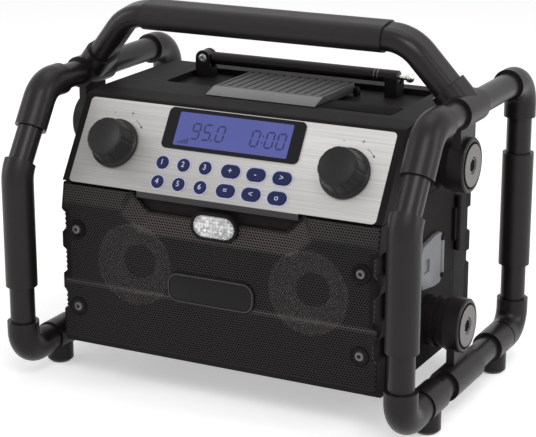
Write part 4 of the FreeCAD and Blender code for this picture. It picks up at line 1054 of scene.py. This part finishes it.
class RADIO_OT_display(bpy.types.Operator):
    """Makes the lit display and its dark segments"""
    bl_idname = "radio.display"
    bl_label = "Display"

    left, right = -55.5, 55.5
    low, high = 45.6, 76.4
    corner = 1.2
    face = 1.0
    glow_height = 0.06
    ink_low, ink_high = 0.05, 0.12
    digits = (("9", -40), ("5", -29), ("0", -16), ("0", 18), ("0", 32), ("0", 43))
    figure_foot = 53
    figure_width, figure_height = 7.0, 14
    stroke, stroke_gap, stroke_tip = 1.5, 0.35, 0.3
    lean = 0.08
    dots = ((-19.2, 53.3), (29.2, 57), (29.2, 63))
    dot_radius = 0.9
    bars = 5
    bar_left, bar_foot, bar_height = -51.5, 47.5, 1.5
    bar_width, bar_pitch = 1.2, 2.2

    def figure(self, digit, left):
        """Outlines of the strokes of one figure."""
        outlines = []
        for key in FIGURES[digit]:
            a, b = (Vector((left + x * self.figure_width + self.lean * y * self.figure_height,
                            self.figure_foot + y * self.figure_height)) for x, y in STROKES[key])
            along = (b - a).normalized() * self.stroke
            across = Vector((-along.y, along.x)) / 2
            a += along * self.stroke_gap
            b -= along * self.stroke_gap
            tip = along * self.stroke_tip
            outlines.append([a - across + tip, b - across - tip, b,
                             b + across - tip, a + across + tip, a])
        return outlines

    def execute(self, context):
        place = panel_matrix()
        pane = rounded_outline(self.left, self.right, self.low, self.high, self.corner, 3)
        glow = slabs([pane], self.face, self.face + self.glow_height, place)
        mesh_piece("display_glow", glow, "radio", "lit", smooth=False)
        outlines = [outline for digit, x in self.digits for outline in self.figure(digit, x)]
        outlines += [stadium_outline(x, y, self.dot_radius, self.dot_radius, 6) for x, y in self.dots]
        for step in range(self.bars):
            x0 = self.bar_left + self.bar_pitch * step
            x1, top = x0 + self.bar_width, self.bar_foot + self.bar_height + step
            outlines.append([(x0, self.bar_foot), (x1, self.bar_foot), (x1, top), (x0, top)])
        segments = slabs(outlines, self.face + self.ink_low, self.face + self.ink_high, place)
        mesh_piece("display_segments", segments, "radio", "segment", smooth=False)
        return {"FINISHED"}


class RADIO_OT_button_marks(bpy.types.Operator):
    """Makes the rings round the buttons and the figures and signs on them"""
    bl_idname = "radio.button_marks"
    bl_label = "Button marks"

    signs = (("+", "-", ">"), ("=", "<", "o"))
    sign_height = 5.4
    figure_height = 5.0
    ring_inner, ring_outer = 0.30, 1.35
    ring_height = 0.25
    mark_low, mark_high = -0.02, 0.04

    def execute(self, context):
        place = panel_matrix()
        rings = []
        for row, v in enumerate(BUTTON_ROWS):
            for column, x in enumerate(BUTTON_COLUMNS):
                body = "button_%02d" % (row * len(BUTTON_COLUMNS) + column + 1)
                if column < ROUND_COLUMNS:
                    half = radius = ROUND_RADIUS
                    text, height = str(row * ROUND_COLUMNS + column + 1), self.figure_height
                else:
                    half, radius = OBLONG_HALF, OBLONG_RADIUS
                    text, height = self.signs[row][column - ROUND_COLUMNS], self.sign_height
                outer, inner = (stadium_outline(x, v, half + gap, radius + gap, 16)
                                for gap in (self.ring_outer, self.ring_inner))
                rings.append(ring_slab(outer, inner, 0.0, self.ring_height, place))
                mark = text_mesh(text, height, (x, v), BUTTON_TOP + self.mark_low,
                                 BUTTON_TOP + self.mark_high, place)
                mesh_piece(body + "_mark", mark, body, "legend", smooth=False)
        mesh_piece("button_rings", joined(rings), "radio", "ring", smooth=False)
        return {"FINISHED"}


class RADIO_OT_panel_print(bpy.types.Operator):
    """Prints the plain dial marks round the knobs"""
    bl_idname = "radio.panel_print"
    bl_label = "Panel print"

    arc_radius, arc_width = 27.5, 0.5
    arc_start, arc_sweep, arc_steps = 42, 18, 14
    arrow_length, arrow_half = 2.6, 1.3
    level = 0.05
    signs = (("-", -9.0), ("+", 9.0))
    sign_height, sign_lift = 4.6, 29.5

    def arc(self, x):
        """Outline of the arc beside a knob."""
        outer, inner = (arc_points(x, KNOB_V, radius, self.arc_start, self.arc_sweep, self.arc_steps)
                        for radius in (self.arc_radius + self.arc_width, self.arc_radius))
        return outer + inner[::-1]

    def arrow(self, x):
        """Outline of the arrow head at the arc's start."""
        angle = math.radians(self.arc_start)
        radial = Vector((math.cos(angle), math.sin(angle)))
        along = Vector((radial.y, -radial.x))
        centre = Vector((x, KNOB_V)) + radial * (self.arc_radius + self.arc_width / 2)
        return [centre + along * self.arrow_length, centre + radial * self.arrow_half,
                centre - radial * self.arrow_half]

    def execute(self, context):
        place = panel_matrix()
        outlines, signs = [], []
        for x in (-KNOB_X, KNOB_X):
            outlines += [self.arc(x), self.arrow(x)]
            for text, offset in self.signs:
                signs.append(text_mesh(text, self.sign_height, (x + offset, KNOB_V + self.sign_lift),
                                       0.0, self.level, place))
        arcs = slabs(outlines, 0.0, self.level, place)
        mesh_piece("panel_arcs", arcs, "radio", "ink", smooth=False)
        mesh_piece("panel_signs", joined(signs), "radio", "ink", smooth=False)
        return {"FINISHED"}


class RADIO_OT_knobs(bpy.types.Operator):
    """Makes the smooth fluted knobs over the plain ones"""
    bl_idname = "radio.knobs"
    bl_label = "Knobs"

    flutes = 12
    flute_depth = 0.8
    flute_narrowing = 6
    steps = 144
    sharp = math.radians(50)
    # Radius, height and share of the flute's depth, from the skirt to the dished face
    rows = ((22.5, 1.2, 0), (22.5, 3.4, 0), (21.9, 4.0, 0), (20.7, 4.3, 0.1), (20.2, 5.2, 1),
            (19.3, 9.5, 1), (18.5, 14.0, 1), (17.8, 18.5, 1), (17.4, 20.6, 0.9), (16.9, 21.4, 0.5),
            (16.2, 21.8, 0.1), (15.2, 21.9, 0), (14.6, 21.6, 0), (0, 21.4, 0))

    def knob(self, bm, place):
        """Knob skin: skirt, fluted cone and a shallow dished face."""
        waves = [max(0.0, math.cos(math.tau * k / self.steps * self.flutes)) ** self.flute_narrowing
                 for k in range(self.steps)]
        rings = []
        for radius, height, share in self.rows:
            radii = [radius - self.flute_depth * share * wave for wave in waves]
            rings.append(turned_ring(bm, radii, height, place))
        skin(bm, rings)
        bm.faces.new(rings[0][::-1])

    def execute(self, context):
        for name, x in (("tuning_knob", -KNOB_X), ("volume_knob", KNOB_X)):
            place = panel_matrix() @ Matrix.Translation((x, KNOB_V, 0))
            mesh = mesh_of(lambda bm: self.knob(bm, place))
            knob = mesh_piece(name + "_skin", mesh, name, "knob", sharp=self.sharp)
            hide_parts(name)
        return {"FINISHED"}


class RADIO_OT_antenna(bpy.types.Operator):
    """Adds the antenna's rings and pivot screw"""
    bl_idname = "radio.antenna"
    bl_label = "Antenna details"

    rings_at = (0.885, 0.902)
    axis_z = 273.0 * MM
    # Height above the rod's surface, and place along it
    ring = ((-0.5, 0), (0.02, 0.1), (0.02, 1.0), (-0.5, 1.1), (-0.5, 0))
    screw_radius, screw_height = 4.2, 1.2
    screw_sunk = 0.2 * MM

    def execute(self, context):
        low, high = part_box("antenna_rod")
        radius = mm(high.y - low.y) / 2
        profile = [(radius + rise, along) for rise, along in self.ring]
        rings = []
        for share in self.rings_at:
            x = low.x + (high.x - low.x) * share
            seat = Matrix.Translation((x, (low.y + high.y) / 2, self.axis_z))
            rings.append(turned(profile, seat @ Matrix.Rotation(math.pi / 2, 4, "Y") @ DRAWING, 32))
        mesh_piece("antenna_rings", joined(rings), "antenna", "steel")
        low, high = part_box("antenna_base")
        place = front_matrix((low.x + high.x) / 2, low.y + self.screw_sunk, self.axis_z)
        screw = screw_mesh(place, self.screw_radius, self.screw_height)
        mesh_piece("antenna_screw", screw, "radio", "steel")
        return {"FINISHED"}


class RADIO_OT_covers(bpy.types.Operator):
    """Rounds the latch and lid over, pales the lid's ramp and lays a dark pad on the deck as painted
    shade
    """
    bl_idname = "radio.covers"
    bl_label = "Latch, lid and mat"

    latch_rounding, lid_rounding, mat_rounding = 0.7, 0.35, 0.3
    ramp_depth = 16.0 * MM
    frontward, downward = -0.1, -0.5
    shade_pad_outline = (60.0, 127.0, -27.0, 3.6, 4.0)
    mat_low, mat_high = -0.2, 0.5

    def rounded_skin(self, node, body, finish_name, width):
        """A node's own form with its edges rounded over."""
        bm = cad_copy(node)
        bmesh.ops.dissolve_limit(bm, angle_limit=math.radians(1), verts=bm.verts, edges=bm.edges)
        mesh = bevelled(mesh_from(bm), width)
        cover = mesh_piece(node + "_skin", mesh, body, finish_name)
        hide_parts(node)
        return cover.data

    def execute(self, context):
        self.rounded_skin("side_latch", "latch", "latch", self.latch_rounding)
        lid = self.rounded_skin("top_lid", "lid", "grey", self.lid_rounding)
        lid.materials.append(material("ramp"))
        ramp_end = min(v.co.y for v in lid.vertices) + self.ramp_depth
        for polygon in lid.polygons:
            normal = polygon.normal
            if normal.y < self.frontward and normal.z > self.downward and polygon.center.y < ramp_end:
                polygon.material_index = 1
        # Painted shade: a thin black pad on the deck stands in for the shade of the recess beside the
        # lid.
        deck = max(v.co.z for v in NODES["front_housing"].data.vertices)
        mat = slabs([rounded_outline(*self.shade_pad_outline)], self.mat_low, self.mat_high,
                    Matrix.Translation((0, 0, deck)) @ DRAWING)
        mesh_piece("deck_shade_pad", bevelled(mat, self.mat_rounding), "radio", "rubber")
        return {"FINISHED"}


WHITE = (1, 1, 1, 1)


class RADIO_OT_stage(bpy.types.Operator):
    """Sets the floor, lights, background and camera"""
    bl_idname = "radio.stage"
    bl_label = "Stage"

    floor_reach = 6.0
    sensor_width = 36.0
    # Name, place, aim, width, height and power
    lamps = (
        ("Key", (1.0, -1.5, 1.9), (0, 0, 0.15), 1.2, 1.0, 22.0),
        ("Left strip", (-1.9, -0.9, 0.9), (0, 0, 0.15), 0.35, 1.6, 9.0),
        ("Top", (0.0, 0.5, 2.3), (0, 0, 0.2), 1.4, 1.0, 7.0),
        ("Right strip", (1.9, 0.3, 0.8), (0, 0, 0.15), 0.4, 1.4, 11.0),
    )

    def seen_rays(self, tree):
        """One for rays from the camera, a glossy surface or clear plastic, else nought."""
        rays = tree.nodes.new("ShaderNodeLightPath").outputs
        pair = maths(tree, "MAXIMUM", rays["Is Camera Ray"], rays["Is Glossy Ray"])
        return maths(tree, "MAXIMUM", pair, rays["Is Transmission Ray"])

    def floor(self, settings):
        """A pale floor that looks white where no shadow falls."""
        mesh = mesh_of(lambda bm: bmesh.ops.create_grid(
            bm, x_segments=1, y_segments=1, size=self.floor_reach))
        pale = bpy.data.materials.new("Pale floor")
        pale.use_nodes = True
        tree = pale.node_tree
        set_inputs(tree.nodes["Principled BSDF"], {
            "Base Color": (*settings.floor_tone, 1), "Roughness": 0.9, "Specular IOR Level": 0.0,
            "Emission Color": WHITE,
            "Emission Strength": maths(tree, "MULTIPLY", self.seen_rays(tree), settings.floor_lift),
        })
        mesh.materials.append(pale)
        linked("floor", mesh)

    def world(self, scene, level):
        """White where the camera, metal or glass sees it, and a plain level for the rest."""
        world = bpy.data.worlds.new("Studio")
        scene.world = world
        world.use_nodes = True
        tree = world.node_tree
        light = tree.nodes["Background"]
        set_inputs(light, {"Color": WHITE, "Strength": level})
        white = add_node(tree, "ShaderNodeBackground", {"Color": WHITE, "Strength": 1.0})
        mix = add_node(tree, "ShaderNodeMixShader", {
            0: self.seen_rays(tree), 1: light.outputs[0], 2: white.outputs[0]})
        set_inputs(tree.nodes["World Output"], {"Surface": mix.outputs[0]})

    def lamp(self, name, place, aim, width, height, power):
        """A soft rectangular light at a place, turned to its aim."""
        light = bpy.data.lights.new(name, "AREA")
        light.shape = "RECTANGLE"
        light.size = width
        light.size_y = height
        light.energy = power
        holder = linked(name, light)
        holder.location = place
        holder.rotation_euler = (Vector(aim) - Vector(place)).to_track_quat("-Z", "Y").to_euler()

    def camera(self, scene, settings):
        """The camera at the picture's viewing angle."""
        lens = bpy.data.cameras.new("Camera")
        lens.lens = settings.focal
        lens.sensor_width = self.sensor_width
        holder = linked("Camera", lens)
        flat = math.cos(settings.elevation)
        ray = Vector((math.sin(settings.azimuth) * flat, -math.cos(settings.azimuth) * flat,
                      math.sin(settings.elevation)))
        target = Vector((settings.target_x, settings.target_y, settings.target_z))
        holder.location = target + ray * settings.distance
        holder.rotation_euler = (-ray).to_track_quat("-Z", "Y").to_euler()
        scene.camera = holder

    def execute(self, context):
        scene = context.scene
        scene.view_settings.view_transform = "Standard"
        self.floor(scene.radio_stage)
        self.world(scene, scene.radio_stage.world_level)
        for lamp in self.lamps:
            self.lamp(*lamp)
        self.camera(scene, scene.radio_stage)
        return {"FINISHED"}


class RADIO_PT_panel(bpy.types.Panel):
    """Lists the radio's operators and settings"""
    bl_idname = "RADIO_PT_panel"
    bl_label = "Jobsite radio"
    bl_space_type = "VIEW_3D"
    bl_region_type = "UI"
    bl_category = "Radio"

    def draw(self, context):
        for operator in OPERATORS:
            self.layout.operator(operator.bl_idname)
        for group in (context.scene.radio_sizes, context.scene.radio_colours, context.scene.radio_stage):
            for key in group.bl_rna.properties.keys():
                if key not in ("rna_type", "name"):
                    self.layout.prop(group, key)


OPERATORS = (
    RADIO_OT_finishes, RADIO_OT_grille, RADIO_OT_speakers, RADIO_OT_washers, RADIO_OT_screws,
    RADIO_OT_badge, RADIO_OT_lamp, RADIO_OT_display, RADIO_OT_button_marks, RADIO_OT_panel_print,
    RADIO_OT_knobs, RADIO_OT_antenna, RADIO_OT_covers, RADIO_OT_stage,
)
CLASSES = (RadioSizes, RadioColours, StageSettings) + OPERATORS + (RADIO_PT_panel,)


def register():
    for cls in CLASSES:
        bpy.utils.register_class(cls)
    bpy.types.Scene.radio_sizes = PointerProperty(type=RadioSizes)
    bpy.types.Scene.radio_colours = PointerProperty(type=RadioColours)
    bpy.types.Scene.radio_stage = PointerProperty(type=StageSettings)


def unregister():
    del bpy.types.Scene.radio_sizes
    del bpy.types.Scene.radio_colours
    del bpy.types.Scene.radio_stage
    for cls in reversed(CLASSES):
        bpy.utils.unregister_class(cls)


def main():
    register()
    for operator in OPERATORS:
        group, name = operator.bl_idname.split(".")
        getattr(getattr(bpy.ops, group), name)()


if __name__ == "__main__":
    main()
